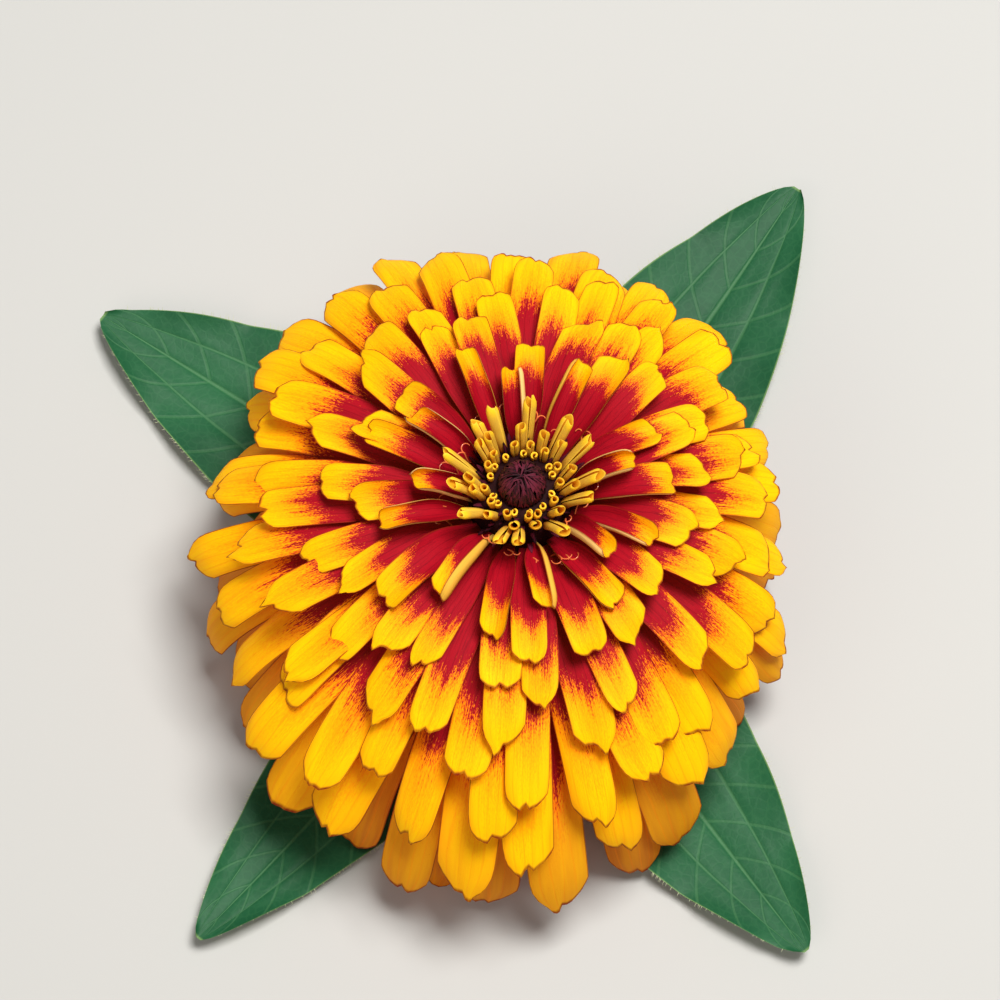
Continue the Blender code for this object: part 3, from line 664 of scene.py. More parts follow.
def red_base(tree, along, marks):
    """Crimson at the root, then scarlet with crimson hairs and dark veins."""
    red = blend(tree, ramp(tree, along, 0.0, 0.34), CRIMSON, SCARLET)
    red = blend(tree, ramp(tree, marks["Hair"], 0.50, 0.72, 0.0, 0.55), red, CRIMSON)
    return blend(tree, calc(tree, "MULTIPLY", marks["Vein"], 0.30), red, VEIN_RED)


print("colours of the upper face ready")

# %% Petal underside and painted glow


def underside(tree, along, across, age, chance):
    """Olive or cream on young petals, with painted shade in ochre towards the middle of the rolled band and
    pale at its margins, terracotta on old ones, ochre at the root.
    """
    pale = blend(tree, ramp(tree, chance, 0.45, 0.80), OLIVE_YELLOW, CREAM)
    # painted shade: ochre towards the middle of the rolled band, pale at its margins
    at_middle = ramp(tree, calc(tree, "ABSOLUTE", across), 0.45, 0.85)
    pale = blend(tree, at_middle, ROLLED_SHADE_OCHRE, pale)
    lower_end = blend(tree, ramp(tree, age, 0.05, 0.35), pale, TERRACOTTA)
    return blend(tree, ramp(tree, along, 0.1, 0.5), ROOT_OCHRE, lower_end)


def painted_glow_in_yellow(tree, age, beyond, edge):
    """A weak warm painted glow in the yellow, an emission that stands in for light coming through the
    petals, weaker on young petals, and none on the edge line.
    """
    in_yellow = ramp(tree, beyond, -0.02, 0.06, 0.12, 1.0)
    in_yellow = calc(tree, "MULTIPLY", in_yellow, ramp(tree, age, 0.0, 0.4, 0.3, 1.0))
    glow_share = calc(tree, "MULTIPLY", in_yellow, calc(tree, "SUBTRACT", 1.0, edge))
    return blend(tree, glow_share, NO_GLOW, PAINTED_GLOW)


print("glow at most", PAINTED_GLOW[:3])

# %% Petal material
PETAL_RIDGES = 0.10 * MM


def petal_material():
    """Scarlet base and yellow end, with an underside, an edge line, a painted glow and fine lengthwise
    ridges.
    """
    material, tree, shader = new_material("petal", 0.62, specular=0.07)
    # painted glow: the petals emit a little light, though they are no lamp
    shader.inputs["Emission Strength"].default_value = 1.0
    place, marks = blade_marks(tree)
    along, across = place["Along"], place["Across"]
    age, chance = stored(tree, "age"), stored(tree, "chance")
    beyond = border_of_red(tree, along, across, age, chance, marks)
    yellow = yellow_end(tree, across, age, beyond, marks)
    upper = blend(tree, ramp(tree, beyond, -0.020, 0.020), red_base(tree, along, marks), yellow)
    colour = blend(tree, place["Under"], upper, underside(tree, along, across, age, chance))
    line = place_group(tree, EDGE_LINE, Along=along, Across=across, Width=0.06)["Line"]
    # the edge line is partly the petal's own colour and partly painted shadow along the margin
    edge = calc(tree, "MULTIPLY", line, ramp(tree, marks["Streak"], 0.3, 0.7, 0.7, 1.0))
    feed(tree, shader.inputs["Base Color"], blend(tree, edge, colour, EDGE_BROWN_AND_SHADOW))
    feed(tree, shader.inputs["Emission Color"], painted_glow_in_yellow(tree, age, beyond, edge))
    ridges = calc(tree, "MULTIPLY_ADD", marks["Vein"], -0.35, marks["Hair"])
    add_bump(tree, shader, ridges, PETAL_RIDGES, 0.5)
    return material


PETAL = petal_material()
print("material:", PETAL.name, "of", len(PETAL.node_tree.nodes), "nodes")

# %% [markdown]
# ## Ray florets
#
# Each petal sits a golden angle further round than the one before it, and the tips lie on a dome. The
# midline of a petal is a cubic curve from the receptacle's cone to the tip. Across, the petal is an arc:
# young ones curl their edges up and inwards, old ones let them hang. The innermost petals and the old ones
# in front are a little fuller than the rest. A petal could be drawn once and copied, but a formula with
# seeded random values makes each its own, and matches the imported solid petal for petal.

# %% Bloom sizes
SEED = 31
GOLDEN_TURN = math.pi * (3 - math.sqrt(5))
RAY_COUNT = 158
SPIRAL_START = 3.15
BLOOM_RADIUS = 48.0 * MM
DOME_RISE = 35.6 * MM
DOME_CENTRE_Z = 16.2 * MM
FRONT_REACH = 0.18
LEFT_REACH = 0.105
SIDE_PINCH = 0.06
INNER_TIP_ANGLE = 22.5
TIP_ANGLE_SPAN = 78.5
TIP_ANGLE_DROOP = 20.0
CONE_TOP_Z = 44.0 * MM
CONE_TOP_RADIUS = 7.2 * MM
CONE_BELLY_Z = 30.0 * MM
CONE_BELLY_RADIUS = 10.8 * MM
TOP_ROOT_Z = 41.0 * MM
ROOT_DEPTH = 2.2 * MM

numbers = np.arange(RAY_COUNT)
ages = numbers / (RAY_COUNT - 1)
print("petals:", RAY_COUNT, "each turned", round(math.degrees(GOLDEN_TURN), 1), "degrees further")

# %% Petal sizes
INNER_RAY_WIDTH = 4.9 * MM
RAY_WIDTH_GAIN = 3.6 * MM
ROLLED_FULLNESS = 0.16
FRONT_FULLNESS = 0.16
CLAW_SHARE = 0.30
WIDEST_AT = 0.60
NARROWS_FROM = 0.86
TIP_NARROWING = 0.38
CORNER_CUT = 0.05
TIP_DENT = 0.02
TIP_SLANT = 0.04
TIP_ONE_SIDED = 0.8
ROOT_SLOPE = 45.0
ROOT_SLOPE_FALL = 35.0
TIP_SLOPE = 10.0
TIP_SLOPE_FALL = 0.78
ROLLED_CURL = 1.75
ROLLED_AGE = 0.10
INNER_CURL = 0.35
CURL_FALL = 0.85
CURL_STARTS_BY = 0.4
CURVE_HANDLE = 0.38
PETAL_THICKNESS = 0.42 * MM
widths = [round(width / MM, 1) for width in (INNER_RAY_WIDTH, INNER_RAY_WIDTH + RAY_WIDTH_GAIN)]
print("petal widths before any play:", widths, "mm")

# %% Play of the petals
AZIMUTH_PLAY = 0.09
TIP_ANGLE_PLAY = 2.4
REACH_PLAY = 0.04
TIP_SLOPE_PLAY = 8.0
WIDTH_PLAY = 0.11
CURL_PLAY = 0.22
TWIST_PLAY = 18.0
SWAY_PLAY = 2.0 * MM

chances = np.random.default_rng(SEED).uniform(-1, 1, (RAY_COUNT, 8))
details = np.random.default_rng(SEED + 5).uniform(-1, 1, (RAY_COUNT, 10))
print("the first petal's draws:", chances[0].round(2))

# %% [markdown]
# ### From a midline to a blade
#
# Two functions make every blade on the flower: one bends its midline in an upright plane, and one sets the
# points of its cross-section round that line. An armature or a curve modifier could bend a flat petal, but
# the formula bends all petals at once and needs no object of its own.

# %% Midlines


def curve_in_plane(start, start_angle, end, end_angle, along):
    """A cubic curve in an upright plane: distance from the axis, height and slope at each share along it.
    Its two handles leave the ends at the given angles, and are 0.38 of the distance between them."""
    handle = CURVE_HANDLE * np.hypot(end[0] - start[0], end[1] - start[1])
    first = (start[0] + handle * np.cos(start_angle), start[1] + handle * np.sin(start_angle))
    second = (end[0] - handle * np.cos(end_angle), end[1] - handle * np.sin(end_angle))
    rest = 1 - along
    place = []
    slope = []
    for axis in range(2):
        a, b, c, d = start[axis], first[axis], second[axis], end[axis]
        place.append(rest**3 * a + 3 * rest**2 * along * b + 3 * rest * along**2 * c + along**3 * d)
        slope.append(rest**2 * (b - a) + 2 * rest * along * (c - b) + along**2 * (d - c))
    return place[0], place[1], np.arctan2(slope[1], slope[0])


half_way = curve_in_plane((0.0, 0.0), math.radians(60), (1.0, 0.0), 0.0, np.array(0.5))
print("half way along a curve of length 1:", [round(float(value), 3) for value in half_way])

# %% Blades
UP = np.array([0.0, 0.0, 1.0])
UNMOVED = np.zeros(1)  # for a blade without a twist or a sway


def blade_points(azimuth, radius, height, slope, side, rise, twist=UNMOVED, sway=UNMOVED):
    """Middle surface in space: the midline point moved sideways by sway, plus side along the twisted
    sideways direction, plus rise along the twisted normal."""
    flat = np.zeros_like(radius + azimuth)
    outward = np.stack((np.cos(azimuth) + flat, np.sin(azimuth) + flat, flat), axis=-1)
    sideways = np.stack((-np.sin(azimuth) + flat, np.cos(azimuth) + flat, flat), axis=-1)
    normal = -np.sin(slope)[..., None] * outward + np.cos(slope)[..., None] * UP
    turned_side = np.cos(twist)[..., None] * sideways + np.sin(twist)[..., None] * normal
    turned_normal = np.cos(twist)[..., None] * normal - np.sin(twist)[..., None] * sideways
    middle = radius[..., None] * outward + height[..., None] * UP + sway[..., None] * sideways
    return middle + side[..., None] * turned_side + rise[..., None] * turned_normal


one_point = blade_points(*[np.array(value) for value in (0.0, 2.0, 1.0, 0.0, 0.5, 0.1)])
print("a point half a unit to the side of a level midline:", one_point)

# %% [markdown]
# ### Room for the leaves
#
# The lowest petals would run into the floor and the leaves, so they are raised until they clear both. A
# simulation could let them settle, but it is enough to know where the leaves lie, so the leaves' plan comes
# first.

# %% Plan of the leaves
# Leaves: name, direction in degrees from +X, height where it meets the stem, length and width
LEAVES = (
    ("leaf_upper_back", 55.0, 10.6 * MM, 76.0 * MM, 33.0 * MM),
    ("leaf_upper_front", 231.0, 10.6 * MM, 72.0 * MM, 25.0 * MM),
    ("leaf_lower_back", 144.0, 5.0 * MM, 76.0 * MM, 33.0 * MM),
    ("leaf_lower_front", 307.0, 5.0 * MM, 70.0 * MM, 30.0 * MM),
)
LEAF_ROOM = 4.2 * MM
LEAF_MARGIN = 3.0 * MM
LEAF_BASE_SHARE = 0.16
LEAF_POINT_SHARE = 0.04


def leaf_half_width(width, along):
    """Half a leaf's width: a narrow clasping base, widest at a third, and a drawn-out point."""
    swell = np.sin(math.pi * np.clip(along, 0, 1) ** 0.72) ** 0.75 * smooth_step((along + 0.05) / 0.3)
    return width / 2 * (swell + LEAF_BASE_SHARE * (1 - along) ** 6 + LEAF_POINT_SHARE * along**4)


def floor_height(points):
    """0 on the bare surface, and the room that a leaf needs where one lies."""
    height = np.zeros(points.shape[:-1])
    for _, direction, _, length, width in LEAVES:
        turn = math.radians(direction)
        along = (points[..., 0] * math.cos(turn) + points[..., 1] * math.sin(turn)) / length
        side = np.abs(points[..., 1] * math.cos(turn) - points[..., 0] * math.sin(turn))
        reach = leaf_half_width(width, np.clip(along, 0, 1)) + LEAF_MARGIN
        height[(along > 0.05) & (along < 1.05) & (side < reach)] = LEAF_ROOM
    return height


print("leaf width at a third:", round(2 * float(leaf_half_width(33.0 * MM, 1 / 3)), 4), "m")

# %% [markdown]
# ### The shape of one petal
#
# No two petals end alike: some are notched, some pointed or slanted, and most have small uneven teeth.
# Their faces are pleated and their margins wave. These details could be sculpted by hand. Here each is one
# term of the formula, with its own random value, so they cost nothing to repeat.

# %% Ends of the petals
FINE_CORNER_POWER = 1.0  # added to 2.5, for squarer ends
NOTCH_DEPTH = 0.060  # this and the next ones are shares of a petal's length
NOTCH_FROM = 0.5  # of the random value, which goes to 1
NOTCH_WIDTH = 0.15  # of half the petal's width
NOTCH_OFF_MIDDLE = 0.4
TOOTH_HEIGHT = 0.006
SMALL_TOOTH_HEIGHT = 0.003
POINT_HEIGHT = 0.026
END_SLANT = 0.03


def tip_line(across, chance, detail, fine):
    """Where the petal ends, as a share of its length: a shallow arc with a dent and a slant, and in the full
    form a bell-shaped notch or a point, and teeth that are two sine waves."""
    away = np.abs(across)
    line = 1 - CORNER_CUT * away ** (2.5 + FINE_CORNER_POWER * fine) - TIP_DENT * (1 - away) ** 4
    line = line + TIP_SLANT * chance[6] * across
    bell = np.exp(-(((across - NOTCH_OFF_MIDDLE * detail[1]) / NOTCH_WIDTH) ** 2))
    notch = np.clip(detail[0] - NOTCH_FROM, 0, 1) * NOTCH_DEPTH * bell
    teeth = TOOTH_HEIGHT * detail[2] * np.sin(8 * across + 6 * detail[6]) * (1 - across**2)
    teeth = teeth + SMALL_TOOTH_HEIGHT * np.sin(19 * across + 9 * detail[7]) * (1 - across**4)
    point = POINT_HEIGHT * np.clip(-0.1 - detail[0], 0, 1) * (1 - away) ** 1.3
    return line + fine * (teeth + point - notch) + END_SLANT * detail[3] * across


no_play = np.zeros(10)
print("a plain petal's corner is at", round(float(tip_line(np.array(1.0), no_play, no_play, 0)), 3))

# %% Ends of the midlines


def petal_midline(azimuth, in_front, lift, along):
    """The curves from the roots on the cone to the tips on the dome, as distance from the axis, height and
    slope. A tip's angle from the dome's top grows with age. The dome reaches further in front and to the
    left, and is pinched from side to side."""
    chance = chances.T[:, :, None, None]
    age = per_sheet(ages)
    tip_angle = INNER_TIP_ANGLE + TIP_ANGLE_SPAN * age + TIP_ANGLE_DROOP * age**4
    tip_angle = tip_angle + TIP_ANGLE_PLAY * chance[1]
    reach = 1 + FRONT_REACH * in_front
    reach = reach * (1 - SIDE_PINCH * np.cos(azimuth) ** 2 - LEFT_REACH * np.sqrt(age) * np.cos(azimuth))
    tip_radius = BLOOM_RADIUS * np.sin(np.radians(tip_angle)) * reach * (1 + REACH_PLAY * chance[2])
    tip_height = DOME_CENTRE_Z + DOME_RISE * np.cos(np.radians(tip_angle)) + per_sheet(lift)
    root_height = TOP_ROOT_Z - (TOP_ROOT_Z - CONE_BELLY_Z) * age
    up_the_cone = (root_height - CONE_BELLY_Z) / (CONE_TOP_Z - CONE_BELLY_Z)
    root_radius = CONE_BELLY_RADIUS + (CONE_TOP_RADIUS - CONE_BELLY_RADIUS) * up_the_cone - ROOT_DEPTH
    start_angle = np.radians(ROOT_SLOPE - ROOT_SLOPE_FALL * age)
    end_angle = np.radians(TIP_SLOPE - TIP_SLOPE_FALL * tip_angle + TIP_SLOPE_PLAY * chance[3])
    return curve_in_plane(
        (root_radius, root_height), start_angle, (tip_radius, tip_height), end_angle, along
    )


spiral = per_sheet(SPIRAL_START + numbers * GOLDEN_TURN)
plain_tips = petal_midline(spiral, np.zeros_like(spiral), np.zeros(RAY_COUNT), np.array(1.0))
print("tips from", plain_tips[1].max().round(4), "down to", plain_tips[1].min().round(4), "m")

# %% Widths and faces of the petals
FINE_TIP_WIDENING = 0.12  # how much less a tip narrows in the full form
FINE_TIP_POWER = 1.2  # added to 2
TIP_WIDTH_PLAY = 0.35
BELLY_PLAY = 0.05
LOPSIDED_CURL = 0.35
LOPSIDED_ROLL = 0.20
CREASE_DEPTH = 0.040  # this and the next ones are shares of half the petal's width
SMALL_CREASE_DEPTH = 0.003
EDGE_WAVE = 0.11
TIP_BEND = 0.26


def petal_half_width(along, across, rolled, in_front, chance, detail, fine):
    """Half the width: it grows from a narrow claw, and narrows again near the tip, more on one side."""
    width = (INNER_RAY_WIDTH + RAY_WIDTH_GAIN * per_sheet(ages)) * (1 + WIDTH_PLAY * chance[4])
    width = width * (1 + ROLLED_FULLNESS * rolled + FRONT_FULLNESS * in_front)
    growth = CLAW_SHARE + (1 - CLAW_SHARE) * smooth_step(along / WIDEST_AT)
    near_tip = np.clip((along - NARROWS_FROM) / (1 - NARROWS_FROM), 0, 1)
    narrowing = TIP_NARROWING * (1 - FINE_TIP_WIDENING * fine + TIP_WIDTH_PLAY * detail[4])
    narrowing = narrowing * (1 + TIP_ONE_SIDED * chance[6] * across)
    half = width / 2 * growth * (1 - narrowing * near_tip ** (2 + FINE_TIP_POWER * fine))
    return half * (1 + BELLY_PLAY * detail[8] + BELLY_PLAY * detail[5] * np.sin(math.pi * along))


def petal_relief(along, across, half, detail):
    """What the full form adds to the face: pleats that are cosines across it, a wave along the margins that
    grows with the cube of across, and a bent tip."""
    creases = SMALL_CREASE_DEPTH * np.cos(9.4 * across + detail[6])
    creases = creases + CREASE_DEPTH * np.cos(4 * across + 1.5 * detail[1])
    pleats = half * creases * np.sin(math.pi * along**1.5)
    phase = 2 * math.pi * (1.4 + 0.5 * detail[7]) * along + 3 * detail[8]
    wave = EDGE_WAVE * half * np.sin(phase) * across**3 * along
    near_tip = np.clip((along - NARROWS_FROM) / (1 - NARROWS_FROM), 0, 1)
    return pleats + wave + TIP_BEND * half * (detail[9] - 0.2) * near_tip**2


print("pleats up to", round(CREASE_DEPTH * (INNER_RAY_WIDTH + RAY_WIDTH_GAIN) / 2 / MM, 2), "mm deep")

# %% Petal surface


def petal_surface(along, across, lift, fine):
    """Middle surfaces of all petals. Across, a petal is an arc of angle curl: half sin(c s) / c to the side
    and half (1 - cos(c s)) / c up, with s from -1 to 1. fine is 0 for the plain form of the solids and 1
    for the full one, which adds uneven ends and curl, pleats, waved edges and bent tips."""
    chance = chances.T[:, :, None, None]
    detail = details.T[:, :, None, None] * fine
    age = per_sheet(ages)
    azimuth = per_sheet(SPIRAL_START + numbers * GOLDEN_TURN) + AZIMUTH_PLAY * chance[0]
    rolled = np.exp(-((age / ROLLED_AGE) ** 2))
    in_front = age * np.maximum(0, -np.sin(azimuth)) ** 2
    along = along * tip_line(across, chance, detail, fine)
    radius, height, slope = petal_midline(azimuth, in_front, lift, along)
    half = petal_half_width(along, across, rolled, in_front, chance, detail, fine)
    curl = ROLLED_CURL * rolled + INNER_CURL - CURL_FALL * age
    lopsided = LOPSIDED_CURL + LOPSIDED_ROLL * rolled
    curl = (curl + CURL_PLAY * chance[5] + 1e-3) * (1 + lopsided * detail[5] * across)
    side = half * np.sin(curl * across) / curl
    rise = half * (1 - np.cos(curl * across)) / curl * smooth_step(along / CURL_STARTS_BY)
    rise = rise + fine * petal_relief(along, across, half, detail)
    twist = math.radians(TWIST_PLAY) * chance[6] * along
    sway = SWAY_PLAY * chance[7] * along**2
    return blade_points(azimuth, radius, height, slope, side, rise, twist, sway)


sample = petal_surface(np.full((1, 1, 1), 1.0), np.zeros((1, 1, 1)), np.zeros(RAY_COUNT), 0)
print("tip of the last petal before it is lifted:", sample[-1, 0, 0].round(4))

# %% Lifted petals
SETTLING_STEPS = 3
COARSE_ROWS = (0.0, 0.2, 0.42, 0.62, 0.80, 0.93, 1.0)
COARSE_COLUMNS = (-1.0, 0.0, 1.0)


def settled_lifts():
    """How far each petal's tip is raised so that it clears the surface and the leaves under it."""
    lift = np.zeros(RAY_COUNT)
    along, across = grid(COARSE_ROWS, COARSE_COLUMNS)
    for _ in range(SETTLING_STEPS):
        points = petal_surface(along[None], across[None], lift, 0)
        lift += np.maximum(0, (floor_height(points) - points[..., 2]).max(axis=(1, 2)))
    return lift


lifts = settled_lifts()
print("petals lifted off the surface or a leaf:", int((lifts > 0).sum()))

# %% Make the petals
PETAL_ROWS = 26
PETAL_COLUMNS = 13
EASED_SHARE = 0.25  # how much the rows crowd towards the root and the tip
COLUMN_TURN = math.pi / 2 * 0.8  # the columns are sines, so that they crowd towards the margins
LAYERS = 6


def make_petals():
    """The petals in layers from the middle outwards, one piece for each layer."""
    even = np.linspace(0, 1, PETAL_ROWS)
    rows = smooth_step(even) * EASED_SHARE + even * (1 - EASED_SHARE)
    columns = np.sin(np.linspace(-1, 1, PETAL_COLUMNS) * COLUMN_TURN) / math.sin(COLUMN_TURN)
    along, across = grid(rows, columns)
    points = petal_surface(along[None], across[None], lifts, 1)
    points[..., 2] = np.maximum(points[..., 2], PETAL_THICKNESS / 2)  # none sinks into the surface
    own = np.random.default_rng(SEED + 9).uniform(0, 1, RAY_COUNT)
    for layer, members in enumerate(np.array_split(numbers, LAYERS)):
        name = f"petals_layer_{layer + 1}"
        values = {"age": ages[members], "chance": own[members]}
        piece = sheets_piece(
            name, points[members], PETAL_THICKNESS, along, across, values, PETAL
        )
        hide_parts("ray_florets")


make_petals()

# %% [markdown]
# ## Receptacle
#
# Under the petals the real flower has a cone of green tissue, covered with dark chaff. Little of it shows
# in the gaps between the florets, so a plain surface of revolution is enough: an outline turned round the
# axis. A Screw modifier would do that as well, but the same formula also gives the stem its ribs.

# %% Surfaces of revolution


def turned_piece(name, outline, sides, material, ribs=0, rib_share=0.0):
    """A closed surface of revolution: (r cos t, r sin t, z) with r swollen by 1 + rib_share cos(ribs t).
    The outline runs from the bottom to the top, and ends on the axis at both ends."""
    radius, height = np.array(outline).T
    turn = np.arange(sides) * 2 * math.pi / sides
    swollen = radius[1:-1, None] * (1 + rib_share * np.cos(ribs * turn))
    level = np.broadcast_to(height[1:-1, None], swollen.shape)
    rings = np.stack((swollen * np.cos(turn), swollen * np.sin(turn), level), axis=-1).reshape(-1, 3)
    places = np.concatenate((rings, [[0, 0, height[0]], [0, 0, height[-1]]]))
    ring, after, walls = ring_walls(len(outline) - 2, sides)
    bottom, top = ring.size, ring.size + 1
    faces = walls.tolist()
    faces += [(bottom, b, a) for a, b in zip(ring[0].tolist(), after[0].tolist())]
    faces += [(top, a, b) for a, b in zip(ring[-1].tolist(), after[-1].tolist())]
    mesh = bpy.data.meshes.new(name)
    mesh.from_pydata((places + AXIS).tolist(), [], faces)
    return finish_piece(name, mesh, material)


print("helper for surfaces of revolution ready")

# %% Receptacle material
# the dark of the chaff on the cone, darkened further as painted shade of the gaps between the florets
CHAFF_AND_SHADE_DARK = linear(20, 4, 7)
CHAFF_AND_SHADE_LIGHT = linear(48, 12, 16)


def receptacle_material():
    """Near-black brown-crimson with a coarse grain: as dark as the chaff that covers the cone, and darker
    still as painted shade of the deep gaps between the florets.
    """
    material, tree, shader = new_material("receptacle", 0.7, specular=0.1)
    grain = noise(tree, own_place(tree), 900.0, 4.0)
    feed(tree, shader.inputs["Base Color"], blend(tree, grain, CHAFF_AND_SHADE_DARK, CHAFF_AND_SHADE_LIGHT))
    add_bump(tree, shader, grain, 0.3 * MM)
    return material


RECEPTACLE = receptacle_material()
print("material:", RECEPTACLE.name)

# %% Make the receptacle
CONE_FOOT_Z = 26.0 * MM
CONE_FOOT_RADIUS = 8.4 * MM
SHOULDER_Z = 45.4 * MM
SHOULDER_RADIUS = 6.7 * MM
COLLAR_TOP_Z = 47.2 * MM
COLLAR_INNER_RADIUS = 4.3 * MM
COLLAR_INNER_Z = 46.4 * MM
BOSS_FOOT_Z = 46.6 * MM
RECEPTACLE_SIDES = 64

core_outline = [
    (0, CONE_FOOT_Z),
    (CONE_FOOT_RADIUS, CONE_FOOT_Z),
    (CONE_BELLY_RADIUS, CONE_BELLY_Z),
    (CONE_TOP_RADIUS, CONE_TOP_Z),
    (SHOULDER_RADIUS, SHOULDER_Z),
    (COLLAR_INNER_RADIUS, COLLAR_INNER_Z),
    (0, BOSS_FOOT_Z),
]
receptacle = turned_piece("receptacle", core_outline, RECEPTACLE_SIDES, RECEPTACLE)
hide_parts("ray_florets", "young_rays")

# %% [markdown]
# ## Young ray florets
#
# The petals nearest the middle are still rolled into tubes, in three rings, and the youngest are 13 short
# buds inside them. Each is a sheet whose sides curl round until they almost meet, with the slit facing the
# disc. A tube could be a plain pipe, but in the photograph the slits and the orange inside show, so the
# sheet is bent into a spiral: its radius grows a little from one margin to the other. Outer tubes are
# longer, lean further out and open further.

# %% Young ray sizes
# A step is what a size gains from one ring to the next
TUBE_RINGS = 3
TUBES_IN_A_RING = 13
BUDS = 13
BUD_RING = -0.7  # what the rings' rule takes as the buds' ring
TUBE_BEND = 1.3
TUBE_LEAN = 8.0
TUBE_LEAN_STEP = 10.5
TUBE_LENGTH = 3.6 * MM
TUBE_LENGTH_STEP = 2.9 * MM
TUBE_FOOT_RADIUS = 0.42 * MM
TUBE_FOOT_RADIUS_STEP = 0.10 * MM
TUBE_MOUTH_RADIUS = 0.50 * MM
TUBE_MOUTH_RADIUS_STEP = 0.20 * MM
TUBE_FOOT_OFF = 0.85 * MM  # outwards from the collar's inner edge
TUBE_FOOT_OFF_STEP = 0.75 * MM
TUBE_FOOT_DEPTH = 1.2 * MM  # below the collar's top
TUBE_FOOT_DEPTH_STEP = 0.6 * MM
TUBE_AZIMUTH_PLAY = 0.08
TUBE_LEAN_PLAY = 2.0
TUBE_LENGTH_PLAY = 0.12
TUBE_TURN_PLAY = 0.6
tube_count = TUBE_RINGS * TUBES_IN_A_RING
print("tubes and buds:", tube_count, "and", BUDS)

# %% Section of a tube
TUBE_TRIM = 0.05
MOUTH_SLANT = 0.10
MOUTH_WAVE = 0.05
CLOSES_FROM = 0.82
CLOSING = 0.16
CLOSING_STEP = 0.10
CLOSING_PLAY = 0.08
SLIT = 0.02
SLIT_GAIN = 0.04
SLIT_GAIN_STEP = 0.07
COIL = 0.24
COIL_STEP = -0.04
FLATTENING_STEP = 0.20


def tube_length_share(along, across, detail):
    """Where a point lies along its tube once the mouth is cut aslant and a little wavy."""
    slant = MOUTH_SLANT * detail[0] * across + MOUTH_WAVE * np.cos(5 * across + 3 * detail[1])
    return along * (1 - TUBE_TRIM + slant * smooth_step((along - 0.6) / 0.4))


def tube_section(along, across, ring, detail):
    """The spiral section of a tube: its angle is s (pi - slit), and its radius p (1 + c s), where s runs
    across from margin to margin. Returns sideways places and those away from the disc."""
    foot_radius = TUBE_FOOT_RADIUS + TUBE_FOOT_RADIUS_STEP * ring
    mouth_radius = TUBE_MOUTH_RADIUS + TUBE_MOUTH_RADIUS_STEP * ring
    swell = foot_radius + (mouth_radius - foot_radius) * along
    closing = CLOSING + CLOSING_STEP * ring + CLOSING_PLAY * detail[2]
    swell = swell * (1 - closing * np.clip((along - CLOSES_FROM) / (1 - CLOSES_FROM), 0, 1) ** 2)
    opening = SLIT_GAIN + SLIT_GAIN_STEP * ring * (1 + 0.8 * detail[3])
    turn = across * (math.pi - SLIT - opening * smooth_step(along)) + TUBE_TURN_PLAY * detail[4]
    coil = swell * (1 + (COIL + COIL_STEP * ring) * across)
    flattened = 1 - FLATTENING_STEP * ring * smooth_step(along / 0.5)
    return coil * np.sin(turn), coil * flattened * np.cos(turn)


section = tube_section(np.array(1.0), np.array([-1.0, 1.0]), 2, np.zeros(5))
print("slit of an outer tube's mouth:", round(float(np.ptp(section[0])) / MM, 2), "mm")

# %% Tube surface


def tube_surface(along, across):
    """Middle surfaces of the tubes and buds: a line that leans out as it rises, its distance growing with
    along to the power 1.3, with the spiral section round it."""
    chance = np.random.default_rng(SEED + 1).uniform(-1, 1, (tube_count, 3))
    bud_chance = np.random.default_rng(SEED + 18).uniform(-1, 1, (BUDS, 3))
    chance = np.concatenate((chance, bud_chance)).T[:, :, None, None]
    detail = np.random.default_rng(SEED + 6).uniform(-1, 1, (tube_count + BUDS, 5)).T[:, :, None, None]
    rings = np.arange(tube_count) // TUBES_IN_A_RING
    ring = per_sheet(np.concatenate((rings, np.full(BUDS, BUD_RING))))
    places = np.concatenate((np.arange(tube_count), -1 - np.arange(BUDS)))
    azimuth = per_sheet(places * GOLDEN_TURN) + TUBE_AZIMUTH_PLAY * chance[0]
    lean = np.radians(TUBE_LEAN + TUBE_LEAN_STEP * ring + TUBE_LEAN_PLAY * chance[1])
    length = (TUBE_LENGTH + TUBE_LENGTH_STEP * ring) * (1 + TUBE_LENGTH_PLAY * chance[2])
    foot_far = COLLAR_INNER_RADIUS + TUBE_FOOT_OFF + TUBE_FOOT_OFF_STEP * ring
    foot_high = COLLAR_TOP_Z - TUBE_FOOT_DEPTH - TUBE_FOOT_DEPTH_STEP * ring
    along = tube_length_share(along, across, detail)
    far = foot_far + length * np.sin(lean) * along**TUBE_BEND
    high = foot_high + length * np.cos(lean) * along
    side, off_disc = tube_section(along, across, ring, detail)
    return blade_points(azimuth, far, high, math.pi / 2 - lean, side, -off_disc)


print("outer tubes lean out by", TUBE_LEAN + 2 * TUBE_LEAN_STEP, "degrees")

# %% Young ray material
TUBE_FOOT_RUST = linear(160, 80, 24)
TUBE_OLIVE = linear(218, 178, 62)
TUBE_LINES = linear(200, 144, 36)
TUBE_END_YELLOW = linear(244, 200, 36)
THROAT_RUST = linear(160, 82, 20)
THROAT_ORANGE = linear(226, 172, 34)
TUBE_RIM_YELLOW = linear(254, 214, 70)


